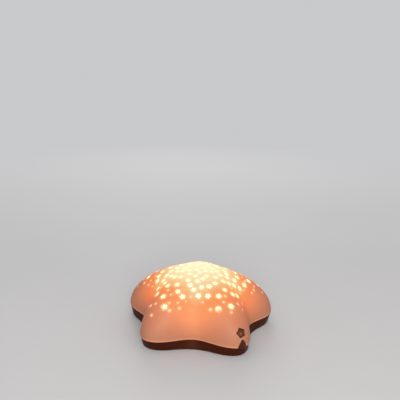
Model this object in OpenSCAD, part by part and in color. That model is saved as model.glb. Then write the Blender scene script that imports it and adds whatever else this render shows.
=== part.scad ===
// Star night light projector: a five-armed translucent cover pierced by star
// windows, over a shallow tray that holds three AA cells, a lamp column and the
// boards. One star-shaped push button on the front arm, a hinged battery door
// underneath. Millimetres, +Z up, standing on z = 0, button arm toward -Y.

/* [Outline] */
// Mean radius of the star outline at the widest level of the cover
rim_mean = 72.7; // [66:0.1:78]
// Half the difference between an arm's reach and a valley
arm_swing = 12.9; // [10:0.1:14]
// Second harmonic, which broadens the arms
arm_second = 1.1; // [0:0.1:1.6]

/* [Cover] */
// Height of the cover's lower edge above the ground
rim_z = 11; // [10.8:0.1:11.4]
// Height of the cover's widest level
bulge_z = 12.4; // [12:0.1:13]
// Rise of the dome above its widest level
dome_h = 57.6; // [54:0.1:62]
// Radius that the level curves tend to near the top
core_r = 66.8; // [64:0.1:70]
// How quickly the arms grow out of the round top
arm_blend = 1.66; // [1.4:0.02:2]
// Fullness of the dome's profile near the top
dome_n = 2.19; // [2:0.01:2.4]
// Fullness of the dome's profile near the wall
dome_m = 0.52; // [0.48:0.01:0.56]
// Wall thickness of the cover
cover_wall = 2.4; // [2:0.1:2.6]
// Tuck of the cover's lower edge under its widest level
lip_tuck = 0.3; // [0.2:0.1:0.6]
// Number of star windows cut through the cover
window_count = 112; // [60:1:120]

/* [Button] */
// Distance of the button's centre from the star's centre
button_y = 82.1; // [81.9:0.1:82.4]
// Height of the button's centre
button_z = 25.8; // [25.4:0.1:26]
// Tilt of the button's axis from vertical
button_tilt = 64; // [63:0.5:65]
// Mean radius of the star cap
button_r = 4.3; // [4:0.05:4.6]
// Point height of the star cap over its mean radius
button_points = 0.6; // [0.4:0.05:0.8]
// Turn of the star from the slope line
button_turn = 12; // [0:1:20]
// Gap round the cap in the cover
button_gap = 0.45; // [0.3:0.05:0.5]

/* [Tray] */
// Height of the tray's underside above the ground
tray_z = 1.2; // [1:0.1:1.3]
// Thickness of the tray's floor
tray_floor = 2; // [1.8:0.1:2.2]
// Inset of the tray's top edge from the cover's widest outline
tray_inset = 0.5; // [0.4:0.1:0.8]
// Height of the skirt's lower edge above the ground
skirt_z = 0.5; // [0.4:0.1:0.8]
// Mean inset of the skirt's foot
skirt_inset = 0.75; // [0.5:0.05:1.2]
// How much further in the skirt's foot lies under an arm than in a valley, halved
skirt_swing = 2.75; // [2:0.05:3]
// Half width of the arched tongue
tongue_half = 5; // [4.4:0.1:5.2]
// Height of the tongue's top
tongue_top = 19.3; // [18.4:0.1:19.4]

/* [Cells] */
// Radius of an AA cell
cell_r = 7.15; // [7:0.05:7.2]
// Length of an AA cell with its positive nub
cell_l = 50.5; // [49.5:0.1:50.5]
// Spacing of the cells
cell_pitch = 15; // [14.8:0.1:15.2]

/* [Door] */
// Width of the battery door
door_w = 49; // [48:0.1:49]
// Length of the battery door without its ear
door_l = 61; // [60.5:0.1:61]
// Thickness of the battery door
door_t = 1.8; // [1.6:0.1:1.8]

/* [Hidden] */

$fn = 48;
steps = 90;            // points round the outline
bands = 15;            // bands from wall to apex on the outside
foot_r = 64;           // distance of the foot pads from the star's centre
post_r = 52;           // distance of the case screws from the star's centre
floor_z = tray_z + tray_floor;
cell_z = 11.2;         // height of the cells' axes
box_w = 45.4;          // inside width of the battery box
box_l = 57;            // inside length of the battery box
box_top = 18.8;        // inside height of the battery box
box_wall = 1.6;
pad_z = 4.6;           // top of the thick floor round the door
screw_y = 34.6;        // door screw
hinge_y = -32.9;       // axis of the door's tabs
hinge_z = 2.5;

// ---- outline and dome ----
function outline(a) = rim_mean + arm_swing * cos(5 * (a + 90)) + arm_second * cos(10 * (a + 90));
function lap(inset, n = steps) = [for (i = [0:n - 1]) let (a = 360 * i / n) (outline(a) - inset) * [cos(a), sin(a)]];
function lap_y(n = 360) = [for (i = [0:n - 1]) outline(i) * sin(i)];
// The origin is the middle of the object's box, so the star's centre sits back from it
centre_y = -(max(lap_y()) + min(lap_y())) / 2;

function dome_r(a, s, t) = s * (core_r - t + (outline(a) - core_r) * pow(s, arm_blend));
function dome_z(s, t) = bulge_z + (dome_h - t) * pow(max(0, 1 - pow(s, dome_n)), dome_m);
function s_of(phi) = pow(sin(phi) * sin(phi), 1 / dome_n);
function dome_ring(phi, t, n = steps) = let (s = s_of(phi))
    [for (i = [0:n - 1]) let (a = 360 * i / n, r = dome_r(a, s, t)) [r * cos(a), r * sin(a), dome_z(s, t)]];
function flat_ring(z, inset, n = steps) = [for (i = [0:n - 1]) let (a = 360 * i / n, r = outline(a) - inset) [r * cos(a), r * sin(a), z]];
// Ring of the tray's outside: share 0 follows the top edge, share 1 the skirt's foot
function skirt_ring(z, share, more = 0, n = steps) = [for (i = [0:n - 1])
    let (a = 360 * i / n, r = outline(a) - tray_inset - share * (skirt_inset - tray_inset + skirt_swing * cos(5 * (a + 90))) - more)
    [r * cos(a), r * sin(a), z]];
// Distance of the cover's outside from the axis at angle a and height z
function wall_r(a, z) = let (s = z <= bulge_z ? 1 : pow(1 - pow((z - bulge_z) / dome_h, 1 / dome_m), 1 / dome_n)) dome_r(a, s, 0);

function flat(l) = [for (r = l) for (p = r) p];

// Closed skin through a stack of rings, closed at each end with a point
module skin(first, rings, last) {
    n = len(rings[0]);
    m = len(rings);
    polyhedron(
        points = concat([first], flat(rings), [last]),
        faces = concat(
            [for (i = [0:n - 1]) [0, 1 + i, 1 + (i + 1) % n]],
            [for (j = [0:m - 2]) for (i = [0:n - 1]) [1 + j * n + i, 1 + (j + 1) * n + i, 1 + (j + 1) * n + (i + 1) % n]],
            [for (j = [0:m - 2]) for (i = [0:n - 1]) [1 + j * n + i, 1 + (j + 1) * n + (i + 1) % n, 1 + j * n + (i + 1) % n]],
            [for (i = [0:n - 1]) [1 + m * n, 1 + (m - 1) * n + (i + 1) % n, 1 + (m - 1) * n + i]]),
        convexity = 10);
}

// Closed skin through a stack of rings with flat ends. Each ring is an outer run
// of points followed by the inner run back, or any convex loop.
module stack(rings) {
    n = len(rings[0]);
    m = len(rings);
    h = floor(n / 2);
    e = (m - 1) * n;
    polyhedron(
        points = flat(rings),
        faces = concat(
            [for (i = [0:h - 2]) [i, i + 1, n - 1 - i]],
            [for (i = [0:h - 2]) [i + 1, n - 2 - i, n - 1 - i]],
            [for (j = [0:m - 2]) for (i = [0:n - 1]) [j * n + i, (j + 1) * n + i, (j + 1) * n + (i + 1) % n]],
            [for (j = [0:m - 2]) for (i = [0:n - 1]) [j * n + i, (j + 1) * n + (i + 1) % n, j * n + (i + 1) % n]],
            [for (i = [0:h - 2]) [e + i, e + n - 1 - i, e + i + 1]],
            [for (i = [0:h - 2]) [e + i + 1, e + n - 1 - i, e + n - 2 - i]]),
        convexity = 10);
}

module slab(inset, z0, z1) {
    translate([0, 0, z0]) linear_extrude(z1 - z0) polygon(lap(inset));
}

module at_valleys(r = post_r) {
    for (i = [0:4]) rotate([0, 0, -54 + 72 * i]) translate([r, 0, 0]) children();
}

module at_arms(r = foot_r) {
    for (i = [0:4]) rotate([0, 0, -90 + 72 * i]) translate([r, 0, 0]) children();
}

// Frame of the push button: +Z out of the cover, +Y up the slope
module at_button() {
    translate([0, -button_y, button_z]) rotate([button_tilt, 0, 0]) children();
}

function star_shape(r, p, n = 60) = [for (i = [0:n - 1]) let (a = 360 * i / n) (r + p * cos(5 * (a - 90 - button_turn))) * [cos(a), sin(a)]];
function five_star(r) = [for (i = [0:9]) (i % 2 == 0 ? r : r * 0.52) * [cos(36 * i), sin(36 * i)]];
// Crescent whose horns lie at 58 degrees either side of +X
function crescent(r) = let (x = r * cos(58), y = r * sin(58), c = 0.62 * r, q = norm([x - c, y]), f = atan2(y, x - c)) concat(
    [for (i = [0:18]) let (a = 58 + 244 * i / 18) r * [cos(a), sin(a)]],
    [for (i = [1:13]) let (a = 360 - f - (360 - 2 * f) * i / 14) [c + q * cos(a), q * sin(a)]]);

module arch(half, top, low) {
    // arch standing in XZ, extruded along Y
    pts = concat(
        [[half, low], [half, rim_z]],
        [for (i = [2:15]) let (f = 90 * i / 16) [half * pow(cos(f), 1.1), rim_z + (top - rim_z) * pow(sin(f), 2)]],
        [[0, top]],
        [for (i = [15:-1:2]) let (f = 90 * i / 16) [-half * pow(cos(f), 1.1), rim_z + (top - rim_z) * pow(sin(f), 2)]],
        [[-half, rim_z], [-half, low]]);
    translate([0, -76, 0]) rotate([90, 0, 0]) linear_extrude(16) polygon(pts);
}

// Round wire along a path of points, as a closed tube
function unit(v) = v / norm(v);
function tangent(p, i) = unit(p[min(i + 1, len(p) - 1)] - p[max(i - 1, 0)]);
module tube(path, r, up, sides = 8) {
    stack([for (i = [0:len(path) - 1]) let (t = tangent(path, i), u = unit(cross(up, t)), v = cross(t, u))
        [for (k = [0:sides - 1]) path[i] + r * (cos(360 * k / sides) * u - sin(360 * k / sides) * v)]]);
}
// Smooth path through a few points
function hermite(p, i, f) = let (a = p[max(i - 1, 0)], b = p[i], c = p[i + 1], d = p[min(i + 2, len(p) - 1)], m = (c - a) / 2, n = (d - b) / 2)
    (2 * f * f * f - 3 * f * f + 1) * b + (f * f * f - 2 * f * f + f) * m + (3 * f * f - 2 * f * f * f) * c + (f * f * f - f * f) * n;
function smooth(p, k = 4) = concat([for (i = [0:len(p) - 2]) for (j = [0:k - 1]) hermite(p, i, j / k)], [p[len(p) - 1]]);
module wire_pair(path, r, gap, up) {
    for (d = [-gap, gap]) translate([d, 0, 0]) tube(smooth(path), r, up);
}

module cross_head(r, h) {
    difference() {
        cylinder(r = r, h = h);
        translate([-r * 0.62, -0.3, -1]) cube([r * 1.24, 0.6, 1 + h * 0.5]);
        translate([-0.3, -r * 0.62, -1]) cube([0.6, r * 1.24, 1 + h * 0.5]);
    }
}

// ---- cover ----
// Windows turn by the golden angle and reach further out along the arms
function window_s(i, a) = 0.06 + (0.75 + 0.065 * cos(5 * (a + 90))) * pow((i + 0.5) / window_count, 0.62);
function window_r(i) = 2.3 + 0.45 * i / window_count + 0.4 * ((i * 7) % 5) / 4;
module windows() {
    for (i = [0:window_count - 1]) {
        a = i * 137.508 + 304;
        s = window_s(i, a);
        ds = 0.01;
        r = dome_r(a, s, 0);
        z = dome_z(s, 0);
        tilt = atan2(dome_z(s - ds, 0) - dome_z(s + ds, 0), dome_r(a, s + ds, 0) - dome_r(a, s - ds, 0));
        rotate([0, 0, a]) translate([r, 0, z]) rotate([0, tilt, 0])
            translate([0, 0, -6]) linear_extrude(9) polygon(i == 107 ? crescent(2.6) : five_star(window_r(i)));
    }
}

module top_cover() {
    color([0.97, 0.62, 0.42]) translate([0, centre_y, 0]) difference() {
        union() {
            skin([0, 0, dome_z(0, cover_wall)],
                concat(
                    [for (j = [1:10]) dome_ring(9 * j, cover_wall)],
                    [flat_ring(rim_z, cover_wall)],
                    [flat_ring(rim_z, lip_tuck), flat_ring(rim_z + 0.45, lip_tuck * 0.35)],
                    [for (j = [0:bands - 1]) dome_ring(90 - 90 * j / bands, 0)]),
                [0, 0, dome_z(0, 0)]);
            at_valleys() {
                translate([0, 0, 9.1]) cylinder(r = 3.2, h = 24);
                translate([0, -0.9, 14]) cube([6.6, 1.8, 15]);
            }
        }
        at_valleys() translate([0, 0, 9]) cylinder(r = 1.3, h = 13);
        at_button() translate([0, 0, -7]) linear_extrude(12) polygon(star_shape(button_r + button_gap, button_points));
        arch(tongue_half + 0.35, tongue_top + 0.35, 8);
        windows();
    }
}

module window_liner() {
    color([1, 0.92, 0.7]) translate([0, centre_y, 0]) union() {
        skin([0, 0, dome_z(0, 4.2)],
            concat(
                [for (j = [1:7]) dome_ring(8.7 * j, 4.2, 60)],
                [for (j = [7:-1:1]) dome_ring(8.7 * j, 3, 60)]),
            [0, 0, dome_z(0, 3)]);
        // bonding pads that reach the cover
        at_arms(37.3) translate([0, 0, dome_z(0.55, 3) - 1.4]) cylinder(r = 1.5, h = 2.5);
    }
}

// ---- tray ----
module base_tray() {
    color([0.2, 0.11, 0.07]) translate([0, centre_y, 0]) difference() {
        union() {
            difference() {
                skin([0, 0, skirt_z],
                    [skirt_ring(skirt_z, 1, 0.8), skirt_ring(skirt_z + 0.3, 1, 0.2), skirt_ring(skirt_z + 0.9, 0.96),
                    skirt_ring(3.4, 0.78), skirt_ring(6.6, 0.42), skirt_ring(rim_z - 0.4, 0)],
                    [0, 0, rim_z - 0.4]);
                slab(4.3, floor_z, 20);
                slab(6.8, -1, tray_z);
            }
            // locating rim that stands inside the cover
            difference() {
                slab(3.1, floor_z, 13.6);
                slab(4.3, floor_z - 1, 20);
            }
            // tongue in the cover's notch
            intersection() {
                stack([for (z = [floor_z:1.3:21]) let (d = z < rim_z ? 1.6 : 0.35) concat(
                    [for (i = [-7:1:7]) (wall_r(-90 + i, z) - d) * [cos(-90 + i), sin(-90 + i), 0] + [0, 0, z]],
                    [for (i = [7:-1:-7]) (wall_r(-90 + i, z) - 4.2) * [cos(-90 + i), sin(-90 + i), 0] + [0, 0, z]])]);
                arch(tongue_half, tongue_top, 6);
            }
            // thick floor round the door, battery box and insert boss
            translate([-30, -38, tray_z + 0.6]) cube([60, 79, pad_z - tray_z - 0.6]);
            translate([-box_w / 2 - box_wall, -box_l / 2 - box_wall, floor_z]) cube([box_w + 2 * box_wall, box_l + 2 * box_wall, box_top + box_wall - floor_z]);
            translate([0, screw_y, floor_z]) cylinder(r = 4.3, h = 7.2);
            at_valleys() translate([0, 0, floor_z - 0.5]) cylinder(r = 4.4, h = 9 - floor_z + 0.5);
            for (x = [-16, 16]) for (y = [-56, -41]) translate([x, y, floor_z - 0.5]) cylinder(r = 2.6, h = 4.3);
            for (x = [-5.4, 5.4]) translate([x, -66, floor_z - 0.5]) cylinder(r = 2.6, h = 1.3);
            // stiffening ribs from the box to the arms
            for (i = [1:4]) rotate([0, 0, -90 + 72 * i]) translate([24, -0.8, floor_z - 0.5]) cube([33, 1.6, 3.5]);
        }
        // battery box inside
        translate([-box_w / 2, -box_l / 2, 3]) cube([box_w, box_l, box_top - 3]);
        // rebate of the door and its ear
        translate([-door_w / 2 - 0.4, -door_l / 2 - 0.8, -1]) cube([door_w + 0.8, door_l + 1.2, 1 + tray_z + door_t + 0.1]);
        translate([-7.4, door_l / 2 - 1, -1]) cube([14.8, screw_y - door_l / 2 + 1, 5.1]);
        translate([0, screw_y, -1]) cylinder(r = 7.4, h = 5.1);
        translate([0, screw_y, 3]) cylinder(r = 2.4, h = 9);
        // slots of the door's tabs
        for (x = [-14, 14]) translate([x, 0, 0]) {
            translate([-4.4, hinge_y - 0.5, -1]) cube([8.8, 4, 7]);
            translate([-4.4, hinge_y - 3, 1.85]) cube([8.8, 3, 4]);
        }
        // slots of the contact tabs
        for (x = [-15, 15]) translate([x - 2.2, -box_l / 2 - 3, 8]) cube([4.4, 4, 6]);
        at_valleys() {
            translate([0, 0, -1]) cylinder(r = 3.2, h = 6);
            translate([0, 0, 0]) cylinder(r = 1.7, h = 12);
        }
        for (x = [-16, 16]) for (y = [-56, -41]) translate([x, y, 2.2]) cylinder(r = 0.95, h = 6);
        for (x = [-5.4, 5.4]) translate([x, -66, 2.6]) cylinder(r = 0.95, h = 6);
        at_arms() translate([0, 0, -1]) cylinder(r = 6.2, h = 3);
    }
}

module foot_pads() {
    color([0.12, 0.09, 0.08]) translate([0, centre_y, 0]) at_arms()
        rotate_extrude() polygon([[0, 0], [5.3, 0], [5.8, 0.25], [6, 0.7], [6, 2], [0, 2]]);
}

// ---- push button ----
module star_button() {
    color([0.24, 0.12, 0.09]) translate([0, centre_y, 0]) at_button() {
        intersection() {
            translate([0, 0, -5]) linear_extrude(8) polygon(star_shape(button_r, button_points));
            translate([0, 0, -15.4]) sphere(r = 16, $fn = 96);
        }
        intersection() {
            translate([0, 0, -7]) cylinder(r = 6.9, h = 6);
            difference() {
                translate([0, 0, -16]) sphere(r = 13, $fn = 96);
                translate([0, 0, -16]) sphere(r = 11.8, $fn = 96);
            }
        }
        translate([0, 0, -12.5]) cylinder(r = 1.8, h = 8.5);
    }
}

// A point of the button's frame, as Y and Z in the star's frame
function side_of(u, w) = [-button_y + cos(button_tilt) * u - sin(button_tilt) * w, button_z + sin(button_tilt) * u + cos(button_tilt) * w];

module button_carrier() {
    color([0.82, 0.82, 0.8]) translate([0, centre_y, 0]) difference() {
        union() {
            at_button() {
                translate([-9, -7, -10.8]) cube([18, 14, 1.8]);
                translate([0, 0, -10.8]) cylinder(r = 3.6, h = 2.8);
            }
            // cheeks, which hold the switch board in slots
            for (x = [-9.8, 8]) translate([x, 0, 0]) rotate([90, 0, 90]) linear_extrude(1.8)
                polygon([side_of(7, -10), side_of(-5.4, -10), [-77.5, 12.4], [-77.5, 4], [-62, 4], side_of(7, -21)]);
            translate([-9, -72.4, 4]) cube([18, 10, 1.8]);
        }
        at_button() translate([0, 0, -14]) cylinder(r = 1.86, h = 8);
        at_button() translate([-9.1, -6.2, -19.5]) cube([18.2, 12.4, 1.4]);
        for (x = [-5.4, 5.4]) translate([x, -66, 0]) cylinder(r = 1.3, h = 8);
    }
}

module carrier_screws() {
    color([0.7, 0.7, 0.72]) translate([0, centre_y, 0]) for (x = [-5.4, 5.4]) translate([x, -66, 0]) {
        translate([0, 0, 7.4]) rotate([180, 0, 0]) cross_head(2, 1.6);
        translate([0, 0, 2.8]) cylinder(r = 0.9, h = 3.1);
    }
}

module switch_board() {
    color([0.1, 0.32, 0.18]) translate([0, centre_y, 0]) at_button() translate([-9.0, -6, -19.4]) cube([18.0, 12, 1.2]);
}

module tact_switch() {
    color([0.1, 0.1, 0.11]) translate([0, centre_y, 0]) at_button() difference() {
        translate([-3, -3, -18.2]) cube([6, 6, 3.5]);
        translate([0, 0, -17.6]) cylinder(r = 1.76, h = 4);
    }
}

module switch_plunger() {
    color([0.85, 0.83, 0.78]) translate([0, centre_y, 0]) at_button() translate([0, 0, -16.5]) cylinder(r = 1.7, h = 4);
}

// ---- electronics ----
module main_board() {
    color([0.1, 0.32, 0.18]) translate([0, centre_y, 0]) difference() {
        translate([-19, -59, 7]) cube([38, 21, 1.6]);
        for (x = [-16, 16]) for (y = [-56, -41]) translate([x, y, 6]) cylinder(r = 1.2, h = 4);
    }
}

module board_screws() {
    color([0.7, 0.7, 0.72]) translate([0, centre_y, 0]) for (x = [-16, 16]) for (y = [-56, -41]) translate([x, y, 0]) {
        translate([0, 0, 10.1]) rotate([180, 0, 0]) cross_head(2, 1.5);
        translate([0, 0, 3]) cylinder(r = 0.9, h = 5.7);
    }
}

module control_chip() {
    color([0.08, 0.08, 0.09]) translate([0, centre_y, 0]) {
        translate([-5, -50, 8.75]) cube([10, 4, 1.5]);
        for (i = [0:6]) for (s = [0, 1]) translate([-4.6 + 1.3 * i, s == 0 ? -51 : -46, 8.6]) cube([0.5, 1, 0.7]);
    }
}

module capacitors() {
    color([0.15, 0.2, 0.45]) translate([0, centre_y, 0]) {
        translate([11, -50, 8.6]) cylinder(r = 2.5, h = 7);
        translate([-11.5, -45, 8.6]) cylinder(r = 2, h = 5.4);
    }
}

module resistors() {
    color([0.1, 0.1, 0.1]) translate([0, centre_y, 0])
        for (i = [0:4]) translate([-7 + 3 * i, -55.5, 8.6]) cube([1.6, 0.9, 0.5]);
}

module lamp_column() {
    color([0.93, 0.93, 0.9]) translate([0, centre_y, 0]) difference() {
        union() {
            translate([0, 0, 20.4]) cylinder(r = 14, h = 2);
            translate([0, 0, 20.4]) cylinder(r = 9, h = 12.6);
        }
        translate([0, 0, 22.4]) cylinder(r = 7.4, h = 12);
        for (x = [-11.4, 11.4]) translate([x, 0, 19]) cylinder(r = 1.2, h = 6);
    }
}

module column_screws() {
    color([0.7, 0.7, 0.72]) translate([0, centre_y, 0]) for (x = [-11.4, 11.4]) translate([x, 0, 0]) {
        translate([0, 0, 24]) rotate([180, 0, 0]) cross_head(2, 1.6);
        translate([0, 0, 20.5]) cylinder(r = 0.9, h = 2);
    }
}

module lamp_board() {
    color([0.95, 0.95, 0.93]) translate([0, centre_y, 33]) cylinder(r = 11.5, h = 1.6);
}

module lamp_leds() {
    color([1, 0.7, 0.4]) translate([0, centre_y, 0]) for (i = [0:2]) rotate([0, 0, 90 + 120 * i]) translate([4.6, 0, 34.6])
        rotate_extrude() polygon(concat([[0, 0], [2.9, 0], [2.9, 1], [2.5, 1], [2.5, 4.6]],
            [for (f = [10:10:80]) [2.5 * cos(f), 4.6 + 2.5 * sin(f)]], [[0, 7.1]]));
}

module lamp_lens() {
    color([0.9, 0.95, 1, 0.5]) translate([0, centre_y, 34.6])
        rotate_extrude() difference() {
            union() {
                intersection() {
                    translate([0, 2]) circle(r = 10.8, $fn = 96);
                    square([12, 14]);
                }
                square([10.8, 2]);
            }
            intersection() {
                translate([0, 2]) circle(r = 9.4, $fn = 96);
                translate([-1, -1]) square([12, 14]);
            }
            translate([-1, -1]) square([10.4, 3]);
        }
}

// ---- cells and contacts ----
module cell() {
    // stands on its negative end
    cylinder(r = cell_r, h = cell_l - 1.2);
    cylinder(r = 2.75, h = cell_l);
}
module battery_1() { color([0.75, 0.55, 0.25]) translate([-cell_pitch, centre_y - box_l / 2 + 6, cell_z]) rotate([-90, 0, 0]) cell(); }
module battery_2() { color([0.75, 0.55, 0.25]) translate([0, centre_y + box_l / 2 - 6, cell_z]) rotate([90, 0, 0]) cell(); }
module battery_3() { color([0.75, 0.55, 0.25]) translate([cell_pitch, centre_y - box_l / 2 + 6, cell_z]) rotate([-90, 0, 0]) cell(); }

module coil() {
    // conical contact spring, base on z = 0, pressed to 5.3 high
    turns = 4;
    k = 14;
    n = turns * k;
    tube([for (i = [0:n]) let (f = i / n, r = 4.6 - 1.8 * f) [r * cos(360 * i / k), r * sin(360 * i / k), 0.45 + 4.4 * f]], 0.36, [0, 0, 1], 6);
}

module contact_springs() {
    color([0.8, 0.8, 0.82]) translate([0, centre_y, cell_z]) {
        for (x = [-cell_pitch, cell_pitch]) translate([x, -box_l / 2 + 0.46, 0]) rotate([-90, 0, 0]) coil();
        translate([0, box_l / 2 - 0.46, 0]) rotate([90, 0, 0]) coil();
    }
}

module contact_plates() {
    color([0.85, 0.83, 0.78]) translate([0, centre_y, cell_z]) {
        // lead end: two separate plates with tabs through the wall, one plain
        for (x = [-cell_pitch, cell_pitch]) translate([x, -box_l / 2, 0]) {
            translate([-6, 0.02, -6]) cube([12, 0.4, 12]);
            translate([-1.6, -3, -2.2]) cube([3.2, 3.2, 0.4]);
        }
        translate([-6, -box_l / 2 + 0.02, -6]) cube([12, 0.4, 12]);
        // far end: plates at the positive nubs and one behind the spring
        for (x = [-cell_pitch, 0, cell_pitch]) translate([x - 6, box_l / 2 - 0.42, -6]) cube([12, 0.4, 12]);
    }
}

// ---- battery door ----
module battery_door() {
    color([0.2, 0.11, 0.07]) translate([0, centre_y, 0]) difference() {
        union() {
            translate([-door_w / 2, -door_l / 2, tray_z]) cube([door_w, door_l, door_t]);
            translate([-7, door_l / 2 - 3.2, tray_z]) cube([14, screw_y - door_l / 2 + 3.2, 1.8]);
            translate([-7, door_l / 2 + 0.1, tray_z]) cube([14, screw_y - door_l / 2 - 0.1, 2.6]);
            translate([0, screw_y, tray_z]) cylinder(r = 7, h = 2.6);
            // hooked tabs
            for (x = [-14, 14]) translate([x - 4, 0, 0]) {
                translate([0, hinge_y, hinge_z - 0.5]) cube([8, 3.4, 1]);
                translate([0, hinge_y - 2.1, hinge_z - 0.5]) cube([8, 2.2, 1]);
                translate([0, hinge_y, hinge_z]) rotate([0, 90, 0]) cylinder(r = 0.75, h = 8, $fn = 24);
            }
            // ribs under the cells
            for (y = [-16, 16]) translate([-20, y, tray_z + door_t - 0.2]) cube([40, 1.2, 0.9]);
        }
        translate([0, screw_y, 0]) cylinder(r = 1.5, h = 6);
        translate([0, screw_y, 0]) cylinder(r = 3, h = tray_z + 1.5);
        // finger grip in the underside
        for (i = [0:4]) translate([-9, 15 + 2.4 * i, tray_z - 1]) cube([18, 1.1, 1.4]);
    }
}

module door_screw() {
    color([0.75, 0.75, 0.77]) translate([0, centre_y + screw_y, 0]) {
        translate([0, 0, tray_z + 0.15]) cross_head(2.7, 1.3);
        translate([0, 0, tray_z + 1.45]) cylinder(r = 1.2, h = 4.4);
    }
}

module door_insert() {
    color([0.8, 0.62, 0.25]) translate([0, centre_y + screw_y, 4.3]) difference() {
        cylinder(r = 2.4, h = 5);
        translate([0, 0, -1]) cylinder(r = 1.4, h = 7);
    }
}

module case_screws() {
    color([0.7, 0.7, 0.72]) translate([0, centre_y, 0]) at_valleys() {
        translate([0, 0, 3.1]) cross_head(2.7, 1.9);
        translate([0, 0, 5]) cylinder(r = 1.25, h = 12);
    }
}

// ---- leads ----
module lamp_lead() {
    color([0.75, 0.1, 0.08]) translate([0, centre_y, 0])
        wire_pair([[8, -39, 9.05], [8, -36.5, 12], [7.5, -33.2, 17], [7, -30.6, 22], [6, -24, 24.2], [4.5, -14.5, 26.5], [3, -10.6, 30], [3, -10.3, 32.95]], 0.6, 0.9, [1, 0, 0]);
}

module switch_lead() {
    color([0.12, 0.12, 0.13]) translate([0, centre_y, 0])
        wire_pair([[-6, -57.5, 8.65], [-6, -57.3, 11], [-5, -58.4, 13.6], [-3.5, -61, 15.6], [-2.5, -64.4, 17.58]], 0.55, 0.8, [1, 0, 0]);
}

module battery_lead() {
    for (s = [-1, 1]) color(s > 0 ? [0.75, 0.1, 0.08] : [0.1, 0.1, 0.1]) translate([0, centre_y, 0])
        tube(smooth([[s * 15, -31.4, 9.8], [s * 15, -33.4, 11], [s * 14.6, -36, 11.6], [s * 13.4, -38.6, 10.6], [s * 13, -39.6, 8.98]]), 0.6, [1, 0, 0]);
}

top_cover();
window_liner();
base_tray();
star_button();
button_carrier();
carrier_screws();
switch_board();
tact_switch();
switch_plunger();
main_board();
board_screws();
control_chip();
capacitors();
resistors();
lamp_column();
column_screws();
lamp_board();
lamp_leds();
lamp_lens();
battery_1();
battery_2();
battery_3();
contact_springs();
contact_plates();
battery_door();
door_screw();
door_insert();
case_screws();
foot_pads();
lamp_lead();
switch_lead();
battery_lead();
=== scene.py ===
import math

import bmesh
import bpy
import numpy as np
from mathutils import Matrix, Vector
from mathutils.geometry import delaunay_2d_cdt


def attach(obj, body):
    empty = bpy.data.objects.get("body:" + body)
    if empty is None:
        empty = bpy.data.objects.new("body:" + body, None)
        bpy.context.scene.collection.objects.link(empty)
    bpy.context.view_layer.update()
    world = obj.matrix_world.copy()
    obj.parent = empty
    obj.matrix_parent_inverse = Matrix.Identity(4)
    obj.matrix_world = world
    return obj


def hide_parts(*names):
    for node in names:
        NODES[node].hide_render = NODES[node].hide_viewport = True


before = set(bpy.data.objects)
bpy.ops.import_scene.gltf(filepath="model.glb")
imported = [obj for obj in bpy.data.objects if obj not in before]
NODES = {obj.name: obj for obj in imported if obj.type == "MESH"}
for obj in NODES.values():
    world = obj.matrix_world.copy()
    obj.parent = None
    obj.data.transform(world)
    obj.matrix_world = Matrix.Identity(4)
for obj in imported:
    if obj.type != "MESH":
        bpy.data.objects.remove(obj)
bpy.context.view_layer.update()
MM = 0.001
SCENE = bpy.context.scene

# ------------------------------------------------------------------ sizes, mm, as in the CAD
RIM_MEAN, SWING, SECOND = 72.7, 12.9, 1.1
RIM_Z, BULGE_Z, DOME_H, CORE_R, BLEND = 11.0, 12.4, 57.6, 66.8, 1.66
DN, DM, WALL, TUCK = 2.19, 0.52, 2.4, 0.3
BUTTON_Y, BUTTON_Z, TILT = 82.1, 25.8, math.radians(64)
BUTTON_R, POINTS, BUTTON_TURN, GAP, NOTCH_GAP = 4.3, 0.6, math.radians(12), 0.45, 0.35
TRAY_Z, TRAY_FLOOR, TRAY_INSET = 1.2, 2.0, 0.5
SKIRT_Z, SKIRT_INSET, SKIRT_SWING = 0.5, 0.75, 2.75
TONGUE_HALF, TONGUE_TOP = 5.0, 19.3
TRIM = 0.1      # keeps the smooth outline inside the CAD's faceted one
CELL_R, CELL_L, PITCH, CELL_Z = 7.15, 50.5, 15.0, 11.2
BOX_W, BOX_L, BOX_TOP, BOX_WALL, PAD_Z = 45.4, 57.0, 18.8, 1.6, 4.6
DOOR_W, DOOR_L, DOOR_T, SCREW_Y, HINGE_Y, HINGE_Z = 49.0, 61.0, 1.8, 34.6, -32.9, 2.5
FOOT_R, POST_R = 64.0, 52.0
FLOOR_Z = TRAY_Z + TRAY_FLOOR
WINDOWS, CRESCENT = 112, 107


def outline(a):
    return RIM_MEAN - TRIM + SWING * np.cos(5 * (a + np.pi / 2)) + SECOND * np.cos(10 * (a + np.pi / 2))


_y = (outline(np.radians(np.arange(360))) + TRIM) * np.sin(np.radians(np.arange(360)))
CY = -(_y.max() + _y.min()) / 2
LAMP = np.array([0.0, CY, 42.0])


# ------------------------------------------------------------------ mesh helpers
def finish_mesh(me, name, body, materials=(), angle=None):
    ob = bpy.data.objects.new(name, me)
    SCENE.collection.objects.link(ob)
    for m in materials:
        me.materials.append(m)
    me.shade_smooth()
    if angle is not None:
        me.set_sharp_from_angle(angle=math.radians(angle))
    if body:
        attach(ob, body)
    return ob


def mesh_from(name, verts, faces):
    me = bpy.data.meshes.new(name)
    me.from_pydata([tuple(float(c) * MM for c in v) for v in verts], [], [tuple(f) for f in faces])
    me.validate(verbose=False)
    me.update()
    return me


def rings_mesh(name, rings, caps=True):
    """Closed body through rings of equal count; each ring runs anticlockwise seen from the side that the next ring lies on."""
    n = len(rings[0])
    verts = [p for r in rings for p in r]
    faces = []
    for j in range(len(rings) - 1):
        for i in range(n):
            k = (i + 1) % n
            faces.append((j * n + i, j * n + k, (j + 1) * n + k, (j + 1) * n + i))
    if caps:
        faces.append(tuple(range(n - 1, -1, -1)))
        faces.append(tuple((len(rings) - 1) * n + i for i in range(n)))
    return mesh_from(name, verts, faces)


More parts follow.
